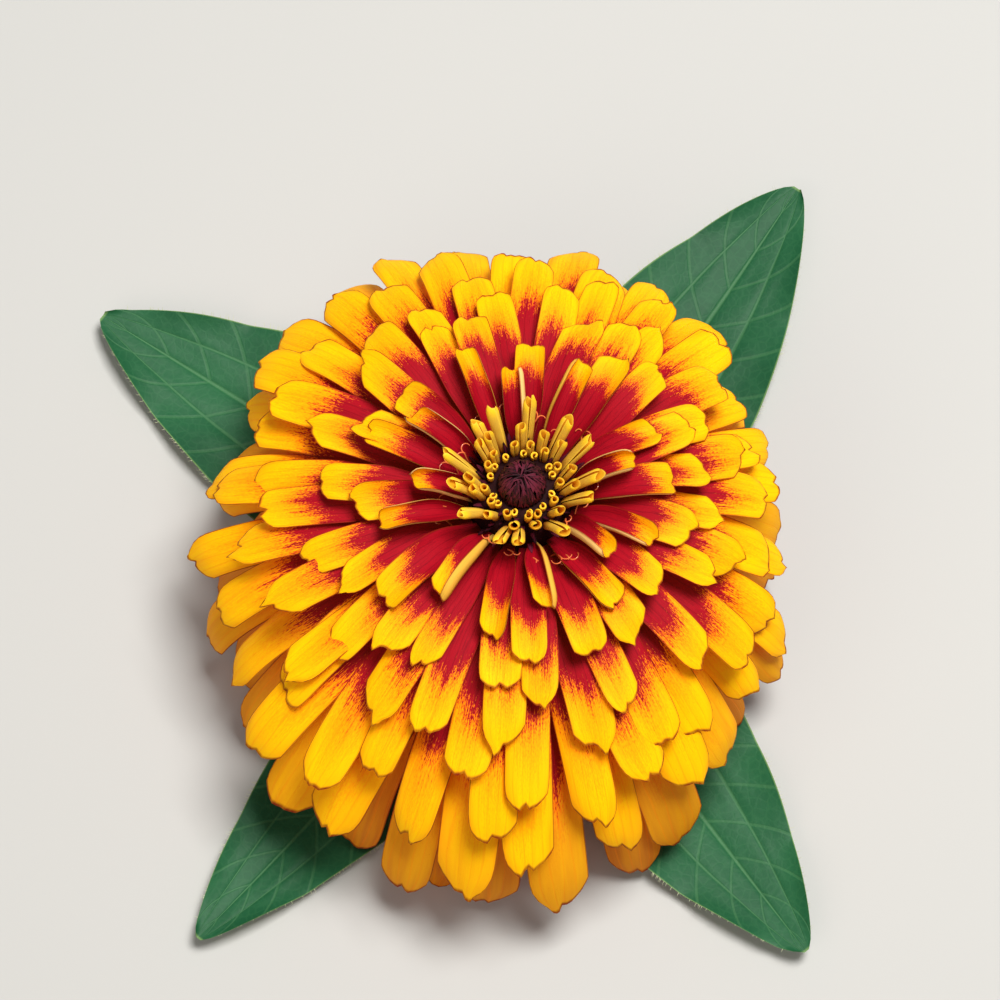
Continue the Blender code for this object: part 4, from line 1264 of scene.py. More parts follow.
def tube_material():
    """Olive-yellow outside and orange inside, rusty at the foot and bright yellow at the mouth, with a weak
    warm painted glow that grows towards the mouth.
    """
    material, tree, shader = new_material("young ray", 0.6, specular=0.15)
    # painted glow: the tubes emit a little light, though they are no lamp
    shader.inputs["Emission Strength"].default_value = 1.0
    place, marks = blade_marks(tree)
    along, across = place["Along"], place["Across"]
    outside = blend(tree, ramp(tree, along, 0.05, 0.5), TUBE_FOOT_RUST, TUBE_OLIVE)
    outside = blend(tree, ramp(tree, marks["Hair"], 0.45, 0.7, 0.0, 0.35), outside, TUBE_LINES)
    outside = blend(tree, ramp(tree, along, 0.74, 0.97), outside, TUBE_END_YELLOW)
    inside = blend(tree, ramp(tree, along, 0.2, 0.9), THROAT_RUST, THROAT_ORANGE)
    colour = blend(tree, place["Under"], inside, outside)
    line = place_group(tree, EDGE_LINE, Along=along, Across=across, Width=0.12)["Line"]
    colour = blend(tree, calc(tree, "MULTIPLY", line, 0.7), colour, TUBE_RIM_YELLOW)
    feed(tree, shader.inputs["Base Color"], colour)
    # painted glow, stronger towards the mouth
    glow = ramp(tree, along, 0.2, 0.9, 0.1, 0.5)
    feed(tree, shader.inputs["Emission Color"], blend(tree, glow, NO_GLOW, PAINTED_GLOW))
    add_bump(tree, shader, marks["Hair"], 0.05 * MM, 0.4)
    return material


TUBE = tube_material()
print("material:", TUBE.name)

# %% Make the young rays
TUBE_ROWS = 18
TUBE_COLUMNS = 21
TUBE_THICKNESS = 0.30 * MM


def make_young_rays():
    """The three rings of tubes and the buds inside them, as one piece."""
    along, across = even_grid(TUBE_ROWS, TUBE_COLUMNS)
    points = tube_surface(along[None], across[None])
    values = {"chance": np.random.default_rng(SEED + 7).uniform(0, 1, tube_count + BUDS)}
    piece = sheets_piece(
        "young_ray_tubes", points, TUBE_THICKNESS, along, across, values, TUBE
    )
    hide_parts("young_rays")


make_young_rays()

# %% [markdown]
# ## Disc boss
#
# The dark middle is not smooth. It is a dome of narrow chaffy scales which close over the unopened disc
# florets and meet at the top. A bump in the material would look flat from the side, so a plain dark dome
# carries real scales, in rings whose tips lean inwards, each scale a small keeled sheet. Longer scales of
# the same kind stand between the tubes.

# %% Chaff material
CHAFF_DARK = linear(30, 6, 16)
CHAFF_RIDGE = linear(96, 20, 46)
CHAFF_LIGHT = linear(128, 40, 66)
CHAFF_LINES = linear(150, 64, 62)


def chaff_material():
    """Dark maroon, each scale a little lighter or darker, with a purple ridge along its middle."""
    material, tree, shader = new_material("chaff", 0.6, specular=0.25)
    place, marks = blade_marks(tree)
    off_middle = ramp(tree, calc(tree, "ABSOLUTE", place["Across"]), 0.0, 0.8)
    colour = blend(tree, calc(tree, "SUBTRACT", 1.0, off_middle), CHAFF_DARK, CHAFF_RIDGE)
    lighter = ramp(tree, stored(tree, "chance"), 0.3, 1.0, 0.0, 0.55)
    colour = blend(tree, lighter, colour, CHAFF_LIGHT)
    colour = blend(tree, ramp(tree, marks["Hair"], 0.55, 0.75, 0.0, 0.4), colour, CHAFF_LINES)
    feed(tree, shader.inputs["Base Color"], colour)
    add_bump(tree, shader, marks["Hair"], 0.06 * MM, 0.5)
    return material


CHAFF = chaff_material()
print("material:", CHAFF.name)

# %% Scales on the dome
BOSS_RADIUS = 3.65 * MM
# Rings of scales: how many, angle of the foot and of the tip above the dome's rim in degrees, width
SCALE_RINGS = (
    (31, 2.0, 40.0, 0.74 * MM),
    (29, 16.0, 54.0, 0.68 * MM),
    (25, 30.0, 66.0, 0.62 * MM),
    (19, 42.0, 77.0, 0.56 * MM),
    (12, 56.0, 87.0, 0.50 * MM),
)
SCALE_BED = 0.35 * MM  # how deep the scales lie in the boss's outline
SCALE_LIFT = 0.08 * MM
SCALE_LIFT_STEP = 0.05 * MM  # from one ring to the next
SCALE_TIP_LIFT = 0.06 * MM
SCALE_TIP_PLAY = 0.50 * MM
SCALE_AZIMUTH_PLAY = 0.3  # of the spacing
SCALE_ANGLE_PLAY = 7.0
SCALE_TWIST_PLAY = 0.5
SCALE_SWAY_PLAY = 0.55 * MM
SCALE_KEEL = 0.60  # of half the width


def dome_scales(along, across):
    """Middle surfaces of scales that follow an elliptic dome from one angle to another, lifted off it a
    little more towards the tip, and keeled: the middle stands above the margins."""
    pieces = []
    chance = np.random.default_rng(SEED + 8)
    for ring, (count, low, high, width) in enumerate(SCALE_RINGS):
        places = np.arange(count) + 0.5 * (ring % 2) + SCALE_AZIMUTH_PLAY * chance.uniform(-1, 1, count)
        azimuth = per_sheet(places * 2 * math.pi / count)
        tip_angle = high + SCALE_ANGLE_PLAY * per_sheet(chance.uniform(-1, 1, count))
        angle = np.radians(low + (tip_angle - low) * along)
        tip_lift = SCALE_TIP_LIFT + SCALE_TIP_PLAY * per_sheet(chance.uniform(0, 1, count)) ** 2
        lift = SCALE_LIFT + tip_lift * along**2 + SCALE_LIFT_STEP * ring - SCALE_BED
        far = (BOSS_RADIUS + lift) * np.cos(angle)
        high_up = BOSS_FOOT_Z + (BOSS_TOP - BOSS_FOOT_Z + lift) * np.sin(angle)
        half = width / 2 * np.sqrt(np.clip(1 - along, 0, 1)) * (0.45 + 0.75 * (1 - along))
        keel = -SCALE_KEEL * half * np.abs(across) ** 1.4
        twist = SCALE_TWIST_PLAY * per_sheet(chance.uniform(-1, 1, count)) * along
        sway = SCALE_SWAY_PLAY * per_sheet(chance.uniform(-1, 1, count)) * along**2
        slope = angle + math.pi / 2
        pieces.append(blade_points(azimuth, far, high_up, slope, half * across, keel, twist, sway))
    return np.concatenate(pieces)


print("scales on the dome:", sum(ring[0] for ring in SCALE_RINGS))

# %% Scales between the tubes
BETWEEN_TUBES = 90
BETWEEN_START = 0.4
BETWEEN_FROM = 4.6 * MM  # the foot's distance from the axis, and what it gains to the outermost
BETWEEN_GAIN = 3.6 * MM
BETWEEN_FOOT_Z = 46.3 * MM
BETWEEN_FOOT_FALL = 0.75
BETWEEN_LEAN = 62.0
BETWEEN_LEAN_FALL = 5.0  # degrees a millimetre outwards
BETWEEN_LENGTH = 2.6 * MM
BETWEEN_HALF_WIDTH = 0.5 * MM


def standing_scales(along, across):
    """Scales that stand between the tubes: upright, leaning out, pointed."""
    chance = np.random.default_rng(SEED + 11).uniform(-1, 1, (BETWEEN_TUBES, 4)).T[:, :, None, None]
    number = per_sheet(np.arange(BETWEEN_TUBES))
    azimuth = number * GOLDEN_TURN + BETWEEN_START + 0.1 * chance[0]
    foot = BETWEEN_FROM + BETWEEN_GAIN * number / BETWEEN_TUBES + 0.2 * MM * chance[1]
    foot_z = BETWEEN_FOOT_Z - BETWEEN_FOOT_FALL * (foot - COLLAR_INNER_RADIUS)
    lean = BETWEEN_LEAN - BETWEEN_LEAN_FALL * (foot - BETWEEN_FROM) / MM + 5 * chance[2]
    lean = np.radians(lean)
    length = BETWEEN_LENGTH + 0.4 * MM * chance[3]
    far = foot + length * np.cos(lean) * along
    high = foot_z + length * np.sin(lean) * along
    half = BETWEEN_HALF_WIDTH * (1 - along**2) * (0.6 + 0.4 * along)
    return blade_points(azimuth, far, high, lean, half * across, 0.6 * half * across**2)


print("scales between the tubes:", BETWEEN_TUBES)

# %% Make the disc
SCALE_ROWS = 9
SCALE_COLUMNS = 7
SCALE_END = 0.98  # a scale's last row, just short of its point
SCALE_THICKNESS = 0.22 * MM
DOME_BOTTOM_Z = 44.8 * MM
DOME_BED = 0.7 * MM  # how deep the plain dome lies below the boss's outline
DOME_DENT = 0.1 * MM
DOME_STEPS = np.radians([0, 20, 40, 58, 74, 85])
DOME_SIDES = 36


def make_disc():
    """The dark dome, its scales, and the scales between the tubes."""
    rim = BOSS_RADIUS - DOME_BED
    rise = BOSS_TOP - BOSS_FOOT_Z - DOME_BED
    outline = [(0, DOME_BOTTOM_Z), (rim, DOME_BOTTOM_Z)]
    outline += [(rim * math.cos(a), BOSS_FOOT_Z + rise * math.sin(a)) for a in DOME_STEPS]
    outline.append((0, BOSS_TOP - DOME_BED - DOME_DENT))
    dome = turned_piece("disc_dome", outline, DOME_SIDES, RECEPTACLE)
    along, across = even_grid(SCALE_ROWS, SCALE_COLUMNS, SCALE_END)
    on_dome = dome_scales(along[None], across[None])
    points = np.concatenate((on_dome, standing_scales(along[None], across[None])))
    values = {"chance": np.random.default_rng(SEED + 12).uniform(0, 1, len(points))}
    scales = sheets_piece("disc_scales", points, SCALE_THICKNESS, along, across, values, CHAFF)
    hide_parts("disc_boss")
    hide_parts("disc_boss", "young_rays")


make_disc()

# %% [markdown]
# ## Styles
#
# Each ray floret has a style, and those of the inner ones show as thin salmon threads that fork into two
# curled arms. They are round threads swept along a path. A curve object with a bevel would do, but each
# thread has to stand on its own petal's face, and that place comes from the petals' formula.

# %% Threads
STYLE_SIDES = 6
TILT = (0.31, 0.27, 0.91)  # no path runs this way, so it gives each ring a side


def threads(paths, radii):
    """Round threads along paths of shape (thread, step, 3): a ring of six points at each step, square to the
    path, and two quads over each end. Returns places and quads."""
    count, steps = paths.shape[:2]
    heading = unit(np.gradient(paths, axis=1))
    side = unit(np.cross(heading, np.array(TILT)))
    other = np.cross(heading, side)
    turn = (np.arange(STYLE_SIDES) * 2 * math.pi / STYLE_SIDES)[None, None, :, None]
    spokes = side[:, :, None] * np.cos(turn) + other[:, :, None] * np.sin(turn)
    places = paths[:, :, None] + spokes * radii[:, :, None, None]
    ring, _, walls = ring_walls(steps, STYLE_SIDES)
    near_end = np.array([[3, 2, 1, 0], [5, 4, 3, 0]])
    far_end = ring[-1, 0] + np.array([[0, 1, 2, 3], [0, 3, 4, 5]])
    one = np.concatenate((walls, near_end, far_end))
    corners = one[None] + (np.arange(count) * ring.size)[:, None, None]
    return places.reshape(-1, 3), corners.reshape(-1, 4)


short_path = np.linspace(0, 1, 3)[None, :, None] * np.array([1.0, 0.0, 0.0])
print("quads of a thread of three steps:", len(threads(short_path, np.ones((1, 3)))[1]))

# %% Feet of the styles
STYLE_PETALS = np.arange(1, 49, 2)
STYLE_STEPS = 26
STYLE_LENGTH = 5.4 * MM
STYLE_LENGTH_PLAY = 1.2 * MM
STYLE_TURN_PLAY = 0.6
STYLE_FOOT_PLAY = 0.03
PATCH_ROWS = (0.16, 0.20, 0.24)  # shares of a petal's length round the style's foot
PATCH_COLUMNS = (-0.1, 0.0, 0.1)


def place_on_petal(index, shift):
    """A point on a petal's face near its root, the face's normal there and the petal's own direction."""
    spots = np.array(PATCH_ROWS)[:, None] + shift
    along, across = np.broadcast_arrays(spots, np.array([PATCH_COLUMNS]))
    patch = petal_surface(along[None], across[None], lifts, 0)[index]
    lengthwise = patch[2, 1] - patch[0, 1]
    normal = unit(np.cross(lengthwise, patch[1, 2] - patch[1, 0]))
    return patch[1, 1], normal * np.sign(normal[2]), unit(lengthwise)


print("the first style's foot:", place_on_petal(STYLE_PETALS[0], 0.0)[0].round(4))

# %% Arms of a style
STALK_SHARE = 0.5  # of a thread's length, before its arms part
SECOND_ARM_FROM = 0.46  # where the second arm's thread leaves the first one's stalk
# The next six are shares of the thread's length
STALK_AHEAD = 0.62
STALK_CLIMB = 0.62
STALK_SINK = 0.26
STALK_BOW = 0.14
ARM_RADIUS = 0.13
ARM_RADIUS_PLAY = 0.03
ARM_DIP = 0.25  # of its way ahead
ARM_ANGLE = 3.0
ARM_ANGLE_PLAY = 0.7


def style_arm(arm, step, share, foot, normal, forward):
    """The path of one arm and its stalk. The stalk leaves the petal's face in a low arc, and from there the
    arm curls sideways and back along a circle: R sin a ahead and R (1 - cos a) to its own side."""
    sideways = np.cross(normal, forward)
    length = STYLE_LENGTH + STYLE_LENGTH_PLAY * share[1]
    stalk = np.minimum(step / STALK_SHARE, 1)
    bow = STALK_BOW * length * share[5] * np.sin(math.pi * stalk)
    lifted = length * (STALK_CLIMB * stalk - STALK_SINK * stalk**2)
    start = foot + STALK_AHEAD * length * stalk * forward + lifted * normal + bow * sideways
    past_fork = np.maximum(step - STALK_SHARE, 0) / (1 - STALK_SHARE)
    angle = (ARM_ANGLE + ARM_ANGLE_PLAY * share[3] * arm) * past_fork
    size = (ARM_RADIUS + ARM_RADIUS_PLAY * share[4] * arm) * length
    ahead = size * np.sin(angle) * (forward - ARM_DIP * normal)
    return start + ahead + arm * size * (1 - np.cos(angle)) * sideways


def style_paths():
    """Two paths for each style, and how far along them each point is. The second one starts at the end of
    the first one's stalk."""
    chance = np.random.default_rng(SEED + 13).uniform(-1, 1, (len(STYLE_PETALS), 6))
    paths, steps = [], []
    for share, index in zip(chance, STYLE_PETALS):
        foot, normal, straight = place_on_petal(index, STYLE_FOOT_PLAY * share[0])
        turn = STYLE_TURN_PLAY * share[2]
        forward = math.cos(turn) * straight + math.sin(turn) * np.cross(normal, straight)
        for arm, first_step in ((-1, 0.0), (1, SECOND_ARM_FROM)):
            step = np.linspace(first_step, 1, STYLE_STEPS)[:, None]
            paths.append(style_arm(arm, step, share, foot, normal, forward))
            steps.append(step[:, 0])
    return np.array(paths), np.array(steps)


arm_paths, arm_steps = style_paths()
print("styles:", len(STYLE_PETALS), "with", len(arm_paths), "arms")

# %% Make the styles
STYLE_RADIUS = 0.12 * MM
STYLE_TAPER = 0.45
STYLE_ORANGE = linear(236, 128, 52)
STYLE_SALMON = linear(214, 96, 70)


def style_material():
    """Salmon, more orange in patches, with a thin moist coat."""
    material, tree, shader = new_material("style", 0.4)
    grain = noise(tree, own_place(tree), 600.0)
    feed(tree, shader.inputs["Base Color"], blend(tree, grain, STYLE_ORANGE, STYLE_SALMON))
    shader.inputs["Coat Weight"].default_value = 0.2
    return material


def make_styles():
    """All the styles, as one piece."""
    places, corners = threads(arm_paths, STYLE_RADIUS * (1 - STYLE_TAPER * arm_steps**2))
    piece = plain_piece("styles", places, corners, style_material())
    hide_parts("young_rays")


make_styles()

# %% [markdown]
# ## Involucre
#
# The green cup below the petals is covered with rounded bracts that overlap like tiles, each with a dark,
# finely fringed rim. The bracts could be painted on the cup, but their free ends show from the side. So a
# bract is the same kind of sheet as a petal, with its rim broken up by a quick wave.

# %% Bracts
BRACT_TIERS = 3
BRACTS_IN_A_TIER = 11
# A gain is what a size gains from the lowest tier to the highest
BRACT_FOOT_RADIUS = 3.22 * MM
BRACT_FOOT_RADIUS_GAIN = 2.86 * MM
BRACT_FOOT_Z = 15.1 * MM
BRACT_FOOT_Z_GAIN = 5.0 * MM
BRACT_HEIGHT = 5.4 * MM
BRACT_SPREAD = 4.5 * MM
BRACT_SPREAD_LOSS = 1.0 * MM
BRACT_HALF_WIDTH = 2.4 * MM
BRACT_HALF_WIDTH_GAIN = 0.6 * MM
BRACT_FOOT_SLOPE = math.radians(25)
BRACT_TIP_SLOPE = math.radians(80)
BRACT_ROUNDING = 0.22
BRACT_CURL = 0.5
FRINGE = 0.012
BRACT_AZIMUTH_PLAY = 0.05
BRACT_HEIGHT_PLAY = 0.25 * MM
BRACT_CURL_PLAY = 0.08


def bract_surfaces(along, across):
    """Middle surfaces of the bracts: a cubic curve up the cup, whose tip stands off it, with a rounded end
    and a fringe: along is shortened by 0.22 across^2 and by a fine wave."""
    tiers = []
    chance = np.random.default_rng(SEED + 2).uniform(-1, 1, (BRACT_TIERS, BRACTS_IN_A_TIER, 2))
    detail = np.random.default_rng(SEED + 14).uniform(-1, 1, (BRACT_TIERS, BRACTS_IN_A_TIER))
    for tier in range(BRACT_TIERS):
        up = tier / (BRACT_TIERS - 1)
        turn = (np.arange(BRACTS_IN_A_TIER) + 0.5 * (tier % 2)) * 2 * math.pi / BRACTS_IN_A_TIER
        azimuth = per_sheet(turn + BRACT_AZIMUTH_PLAY * chance[tier, :, 0])
        foot = (BRACT_FOOT_RADIUS + BRACT_FOOT_RADIUS_GAIN * up, BRACT_FOOT_Z + BRACT_FOOT_Z_GAIN * up)
        climb = BRACT_HEIGHT + BRACT_HEIGHT_PLAY * per_sheet(chance[tier, :, 1])
        tip = (foot[0] + BRACT_SPREAD - BRACT_SPREAD_LOSS * up, foot[1] + climb)
        own = per_sheet(detail[tier])
        fringe = FRINGE * np.sin(37 * across + 5 * own) * smooth_step((along - 0.7) / 0.3)
        reach = along * (1 - BRACT_ROUNDING * across**2 + fringe)
        far, high, slope = curve_in_plane(foot, BRACT_FOOT_SLOPE, tip, BRACT_TIP_SLOPE, reach)
        half = BRACT_HALF_WIDTH + BRACT_HALF_WIDTH_GAIN * up
        half = half * (0.75 + 0.25 * np.sin(math.pi * reach)) * (1 - 0.35 * reach**3)
        curl = BRACT_CURL + BRACT_CURL_PLAY * own
        side = half * np.sin(curl * across) / curl
        rise = half * (1 - np.cos(curl * across)) / curl
        tiers.append(blade_points(azimuth, far, high, slope, side, rise))
    return np.concatenate(tiers)


print("bracts:", BRACT_TIERS * BRACTS_IN_A_TIER)

# %% Bract material
BRACT_PALE = linear(150, 170, 84)
BRACT_GREEN = linear(84, 122, 48)
BRACT_LINES = linear(62, 96, 40)
BRACT_RIM = linear(44, 24, 22)


def bract_material():
    """Fresh green, paler at the foot, with a near-black rim and fine lengthwise lines."""
    material, tree, shader = new_material("bract", 0.5, sheen=0.05)
    place, marks = blade_marks(tree)
    along, across = place["Along"], place["Across"]
    green = blend(tree, ramp(tree, along, 0.1, 0.8), BRACT_PALE, BRACT_GREEN)
    green = blend(tree, ramp(tree, marks["Hair"], 0.4, 0.7, 0.0, 0.5), green, BRACT_LINES)
    line = place_group(tree, EDGE_LINE, Along=along, Across=across, Width=0.26)["Line"]
    dark = calc(tree, "MULTIPLY", line, ramp(tree, along, 0.35, 0.7))
    feed(tree, shader.inputs["Base Color"], blend(tree, dark, green, BRACT_RIM))
    add_bump(tree, shader, marks["Hair"], 0.10 * MM, 0.5)
    return material


BRACT = bract_material()
print("material:", BRACT.name)

# %% Stalk material
STALK_GREEN = linear(92, 128, 50)
STALK_PALE = linear(150, 172, 92)
STALK_MARKS = linear(96, 84, 46)
STALK_STRETCH = (1400.0, 1400.0, 90.0)  # a noise this fine across the stalk and coarse along it


def stalk_material():
    """Green of a stalk, with long pale lines and small darker marks."""
    material, tree, shader = new_material("stalk", 0.55, sheen=0.1)
    place = own_place(tree)
    stretched = tree.nodes.new("ShaderNodeVectorMath")
    stretched.operation = "MULTIPLY"
    tree.links.new(place, stretched.inputs[0])
    stretched.inputs[1].default_value = STALK_STRETCH
    lines = noise(tree, stretched.outputs[0], 1.0, 3.0)
    marks = ramp(tree, noise(tree, place, 1100.0, 2.0), 0.6, 0.75, 0.0, 0.5)
    green = blend(tree, lines, STALK_GREEN, STALK_PALE)
    feed(tree, shader.inputs["Base Color"], blend(tree, marks, green, STALK_MARKS))
    add_bump(tree, shader, lines, 0.15 * MM, 0.6)
    return material


STALK = stalk_material()
print("material:", STALK.name)

# %% Make the involucre
BRACT_ROWS = 15
BRACT_COLUMNS = 25
BRACT_THICKNESS = 0.5 * MM
CUP_SIDES = 66
CUP_BOTTOM_Z = 14.5 * MM
CUP_TOP_Z = 25.7 * MM
CUP_OUTLINE = (
    (0, CUP_BOTTOM_Z),
    (3.6 * MM, CUP_BOTTOM_Z),
    (6.6 * MM, 17.1 * MM),
    (8.3 * MM, 22.1 * MM),
    (8.2 * MM, CUP_TOP_Z),
    (0, CUP_TOP_Z),
)


def make_involucre():
    """The bracts and the cup that carries them."""
    along, across = even_grid(BRACT_ROWS, BRACT_COLUMNS)
    points = bract_surfaces(along[None], across[None])
    values = {"chance": np.random.default_rng(SEED + 15).uniform(0, 1, len(points))}
    bracts = sheets_piece("bracts", points, BRACT_THICKNESS, along, across, values, BRACT)
    cup = turned_piece("cup", CUP_OUTLINE, CUP_SIDES, STALK)
    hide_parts("involucre")
    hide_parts("involucre")


make_involucre()

# %% [markdown]
# ## Stem
#
# The stem is cut just below the leaves. It is ribbed and set with stiff hairs. The ribs are a cosine in the
# radius of a surface of revolution. A particle system could grow the hairs, but they would be no part of
# the mesh, so each hair is a small spike of twelve triangles.

# %% Hairs
SPIKE_TIP_SHARE = 0.12  # of the radius at the foot
HAIR_PALE = linear(196, 206, 160)
HAIR_PALEST = linear(226, 230, 200)


def spikes(feet, headings, lengths, radius):
    """Thin spikes as places and quads: a square foot and a very small square tip, joined by four walls."""
    side = unit(np.cross(headings, np.array([0.13, 0.21, 0.97])))
    other = np.cross(headings, side)
    rings = []
    for share, size in ((0.0, 1.0), (1.0, SPIKE_TIP_SHARE)):
        for turn in np.arange(4) * math.pi / 2:
            spoke = math.cos(turn) * side + math.sin(turn) * other
            rings.append(feet + headings * (lengths * share)[:, None] + spoke * radius * size)
    places = np.stack(rings, axis=1)
    walls = [(a, (a + 1) % 4, 4 + (a + 1) % 4, 4 + a) for a in range(4)]
    one = np.array(walls + [(3, 2, 1, 0), (4, 5, 6, 7)])
    corners = one[None] + (np.arange(len(feet)) * 8)[:, None, None]
    return places.reshape(-1, 3), corners.reshape(-1, 4)


def hair_material():
    """Pale bristle."""
    material, tree, shader = new_material("hair", 0.35)
    grain = noise(tree, own_place(tree), 800.0)
    feed(tree, shader.inputs["Base Color"], blend(tree, grain, HAIR_PALE, HAIR_PALEST))
    return material


HAIR = hair_material()
print("material:", HAIR.name)

# %% Make the stem
STEM_RADIUS = 2.6 * MM
STEM_CUT_Z = 2.0 * MM
STEM_TOP_Z = 14.2 * MM
STEM_SIDES = 96
STEM_RIBS = 12
STEM_RIB_SHARE = 0.05
STEM_SWELLING = 0.25
# Outline of the cut end, a little hollow: share of the stem's radius and height above the cut
STEM_CUT_OUTLINE = ((0.0, 0.25 * MM), (0.5, 0.2 * MM), (0.94, 0.0))
STEM_WALL_FROM = 0.3 * MM
STEM_WALL_STEPS = 14


def make_stem():
    """The ribbed stem, from its cut end to the cup, swelling towards the cup."""
    outline = [(STEM_RADIUS * share, STEM_CUT_Z + height) for share, height in STEM_CUT_OUTLINE]
    heights = np.linspace(STEM_CUT_Z + STEM_WALL_FROM, STEM_TOP_Z, STEM_WALL_STEPS)
    up = (heights - STEM_CUT_Z) / (STEM_TOP_Z - STEM_CUT_Z)
    swollen = STEM_RADIUS * (1 + STEM_SWELLING * smooth_step(up * 2.5 - 1.5))
    outline += list(zip(swollen, heights)) + [(0, STEM_TOP_Z)]
    stem = turned_piece(
        "stem_surface", outline, STEM_SIDES, STALK, STEM_RIBS, STEM_RIB_SHARE
    )
    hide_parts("stem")


make_stem()

# %% Make the stem's hairs
STEM_HAIRS = 260
STEM_HAIR_DEPTH = 0.97  # where they stand, as a share of the stem's radius
STEM_HAIR_RADIUS = 0.05 * MM


def make_stem_hairs():
    """Stiff hairs all round the stem, each at its own height and slant."""
    chance = np.random.default_rng(SEED + 16)
    turn = chance.uniform(0, 2 * math.pi, STEM_HAIRS)
    height = chance.uniform(STEM_CUT_Z + 0.4 * MM, STEM_TOP_Z - 2 * MM, STEM_HAIRS)
    outward = np.stack((np.cos(turn), np.sin(turn), chance.uniform(-0.4, 0.5, STEM_HAIRS)), axis=-1)
    stand_at = STEM_RADIUS * STEM_HAIR_DEPTH
    feet = np.stack((np.cos(turn) * stand_at, np.sin(turn) * stand_at, height), axis=-1)
    lengths = chance.uniform(0.7, 1.5, STEM_HAIRS) * MM
    places, corners = spikes(feet, unit(outward), lengths, STEM_HAIR_RADIUS)
    hairs = plain_piece("stem_hairs", places, corners, HAIR)
    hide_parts("stem")


make_stem_hairs()

# %% [markdown]
# ## Leaves
#
# A zinnia's leaves clasp the stem in opposite pairs. Each is an oval drawn out to a point, with three main
# veins that run its whole length, sunk on top and raised below, finer veins in a net between them, and short
# stiff hairs on the margin. A flat cut-out with a picture would do from afar, but here the main veins and
# the waved margins are shaped in the surface, and only the net is left to the material.

# %% Leaf surface
LEAF_BED_Z = 1.3 * MM
LEAF_FOOT_RADIUS = 3.38 * MM  # just off the stem
LANDING_SHARE = 0.30  # of its length, by which a leaf has sunk to the surface
LEAF_TIP_RISE = 2.6 * MM
LEAF_FOLD = 0.10  # of half the width
LEAF_WAVE = 1.3 * MM
LEAF_WAVES = 2.3
SIDE_VEIN_AT = 0.45  # of half the width
VEIN_WIDTH = 0.05
SIDE_VEIN_SHARE = 0.7  # of the midrib's depth
VEIN_DEPTH = 0.32 * MM
GROOVE_DEPTH = 0.30 * MM
GROOVE_WIDTH = 0.2
PUCKER_DEPTH = 0.16 * MM
LEAF_SWAY = 4.0 * MM


def leaf_relief(along, across, half):
    """How the blade departs from flat across its width: folded up from the midrib, hollowed along three
    veins that are bell curves, puckered between them and waved at the margin."""
    away = np.abs(across)
    fold = LEAF_FOLD * half * away**1.5
    side_veins = np.exp(-(((away - SIDE_VEIN_AT) / VEIN_WIDTH) ** 2))
    veins = np.exp(-((across / VEIN_WIDTH) ** 2)) + SIDE_VEIN_SHARE * side_veins
    hollow = -GROOVE_DEPTH * np.exp(-((across / GROOVE_WIDTH) ** 2)) - VEIN_DEPTH * veins
    puckers = PUCKER_DEPTH * np.sin(31 * along - 9 * away) * np.sin(math.pi * away) ** 2
    phase = 2 * math.pi * (LEAF_WAVES * along + 0.2 * np.sign(across))
    edge_wave = LEAF_WAVE * np.abs(np.sin(phase)) * across**4 * smooth_step((along - 0.2) / 0.25)
    relief = fold + (hollow + puckers) * np.sin(math.pi * along) + edge_wave
    return relief * smooth_step(along / 0.15)


def leaf_surface(direction, foot_z, length, width, along, across):
    """The middle surface of a leaf: its line leaves the stem level, sinks to the surface, lies there and
    lifts its tip a little, with the relief across it."""
    azimuth = math.radians(direction)
    far = LEAF_FOOT_RADIUS + length * along
    height = LEAF_BED_Z + (foot_z - LEAF_BED_Z) * (1 - smooth_step(along / LANDING_SHARE))
    landed = np.clip((along - LANDING_SHARE) / (1 - LANDING_SHARE), 0, 1)
    height = height + LEAF_TIP_RISE * landed**3
    slope = np.arctan2(np.gradient(height, axis=0), np.gradient(far, axis=0))
    half = leaf_half_width(width, along)
    rise = leaf_relief(along, across, half)
    sway = LEAF_SWAY * math.sin(azimuth * 3) * along**2
    return blade_points(np.array(azimuth), far, height, slope, half * across, rise, sway=sway)


rim_rise = leaf_relief(np.linspace(0, 1, 9), np.ones(9), leaf_half_width(33.0 * MM, np.linspace(0, 1, 9)))
print("a margin rises up to", round(float(rim_rise.max()) / MM, 1), "mm")

# %% Leaf veins


def vein_net(tree, position):
    """A net of fine veins: 1 along the edges of Voronoi cells."""
    cells = tree.nodes.new("ShaderNodeTexVoronoi")
    cells.feature = "DISTANCE_TO_EDGE"
    cells.inputs["Scale"].default_value = 700.0
    tree.links.new(position, cells.inputs["Vector"])
    return calc(tree, "SUBTRACT", 1.0, ramp(tree, cells.outputs["Distance"], 0.0, 0.16))


def main_veins(tree, along, across):
    """The midrib, the two side veins and slanting branches, which are crests of a sine: 1 on a vein."""
    away = calc(tree, "ABSOLUTE", across)
    midrib = calc(tree, "SUBTRACT", 1.0, ramp(tree, away, 0.012, 0.05))
    beside = calc(tree, "ABSOLUTE", calc(tree, "SUBTRACT", away, SIDE_VEIN_AT))
    side_vein = calc(tree, "SUBTRACT", 1.0, ramp(tree, beside, 0.008, 0.035, 0.0, 0.8))
    side_vein = calc(tree, "SUBTRACT", side_vein, 0.2)
    slanting = calc(tree, "MULTIPLY_ADD", away, -9.0, calc(tree, "MULTIPLY", along, 62.0))
    branches = ramp(tree, calc(tree, "SINE", slanting), 0.93, 1.0, 0.0, 0.55)
    return calc(tree, "MAXIMUM", midrib, calc(tree, "MAXIMUM", side_vein, branches))


print("side veins at", SIDE_VEIN_AT, "of half the width")

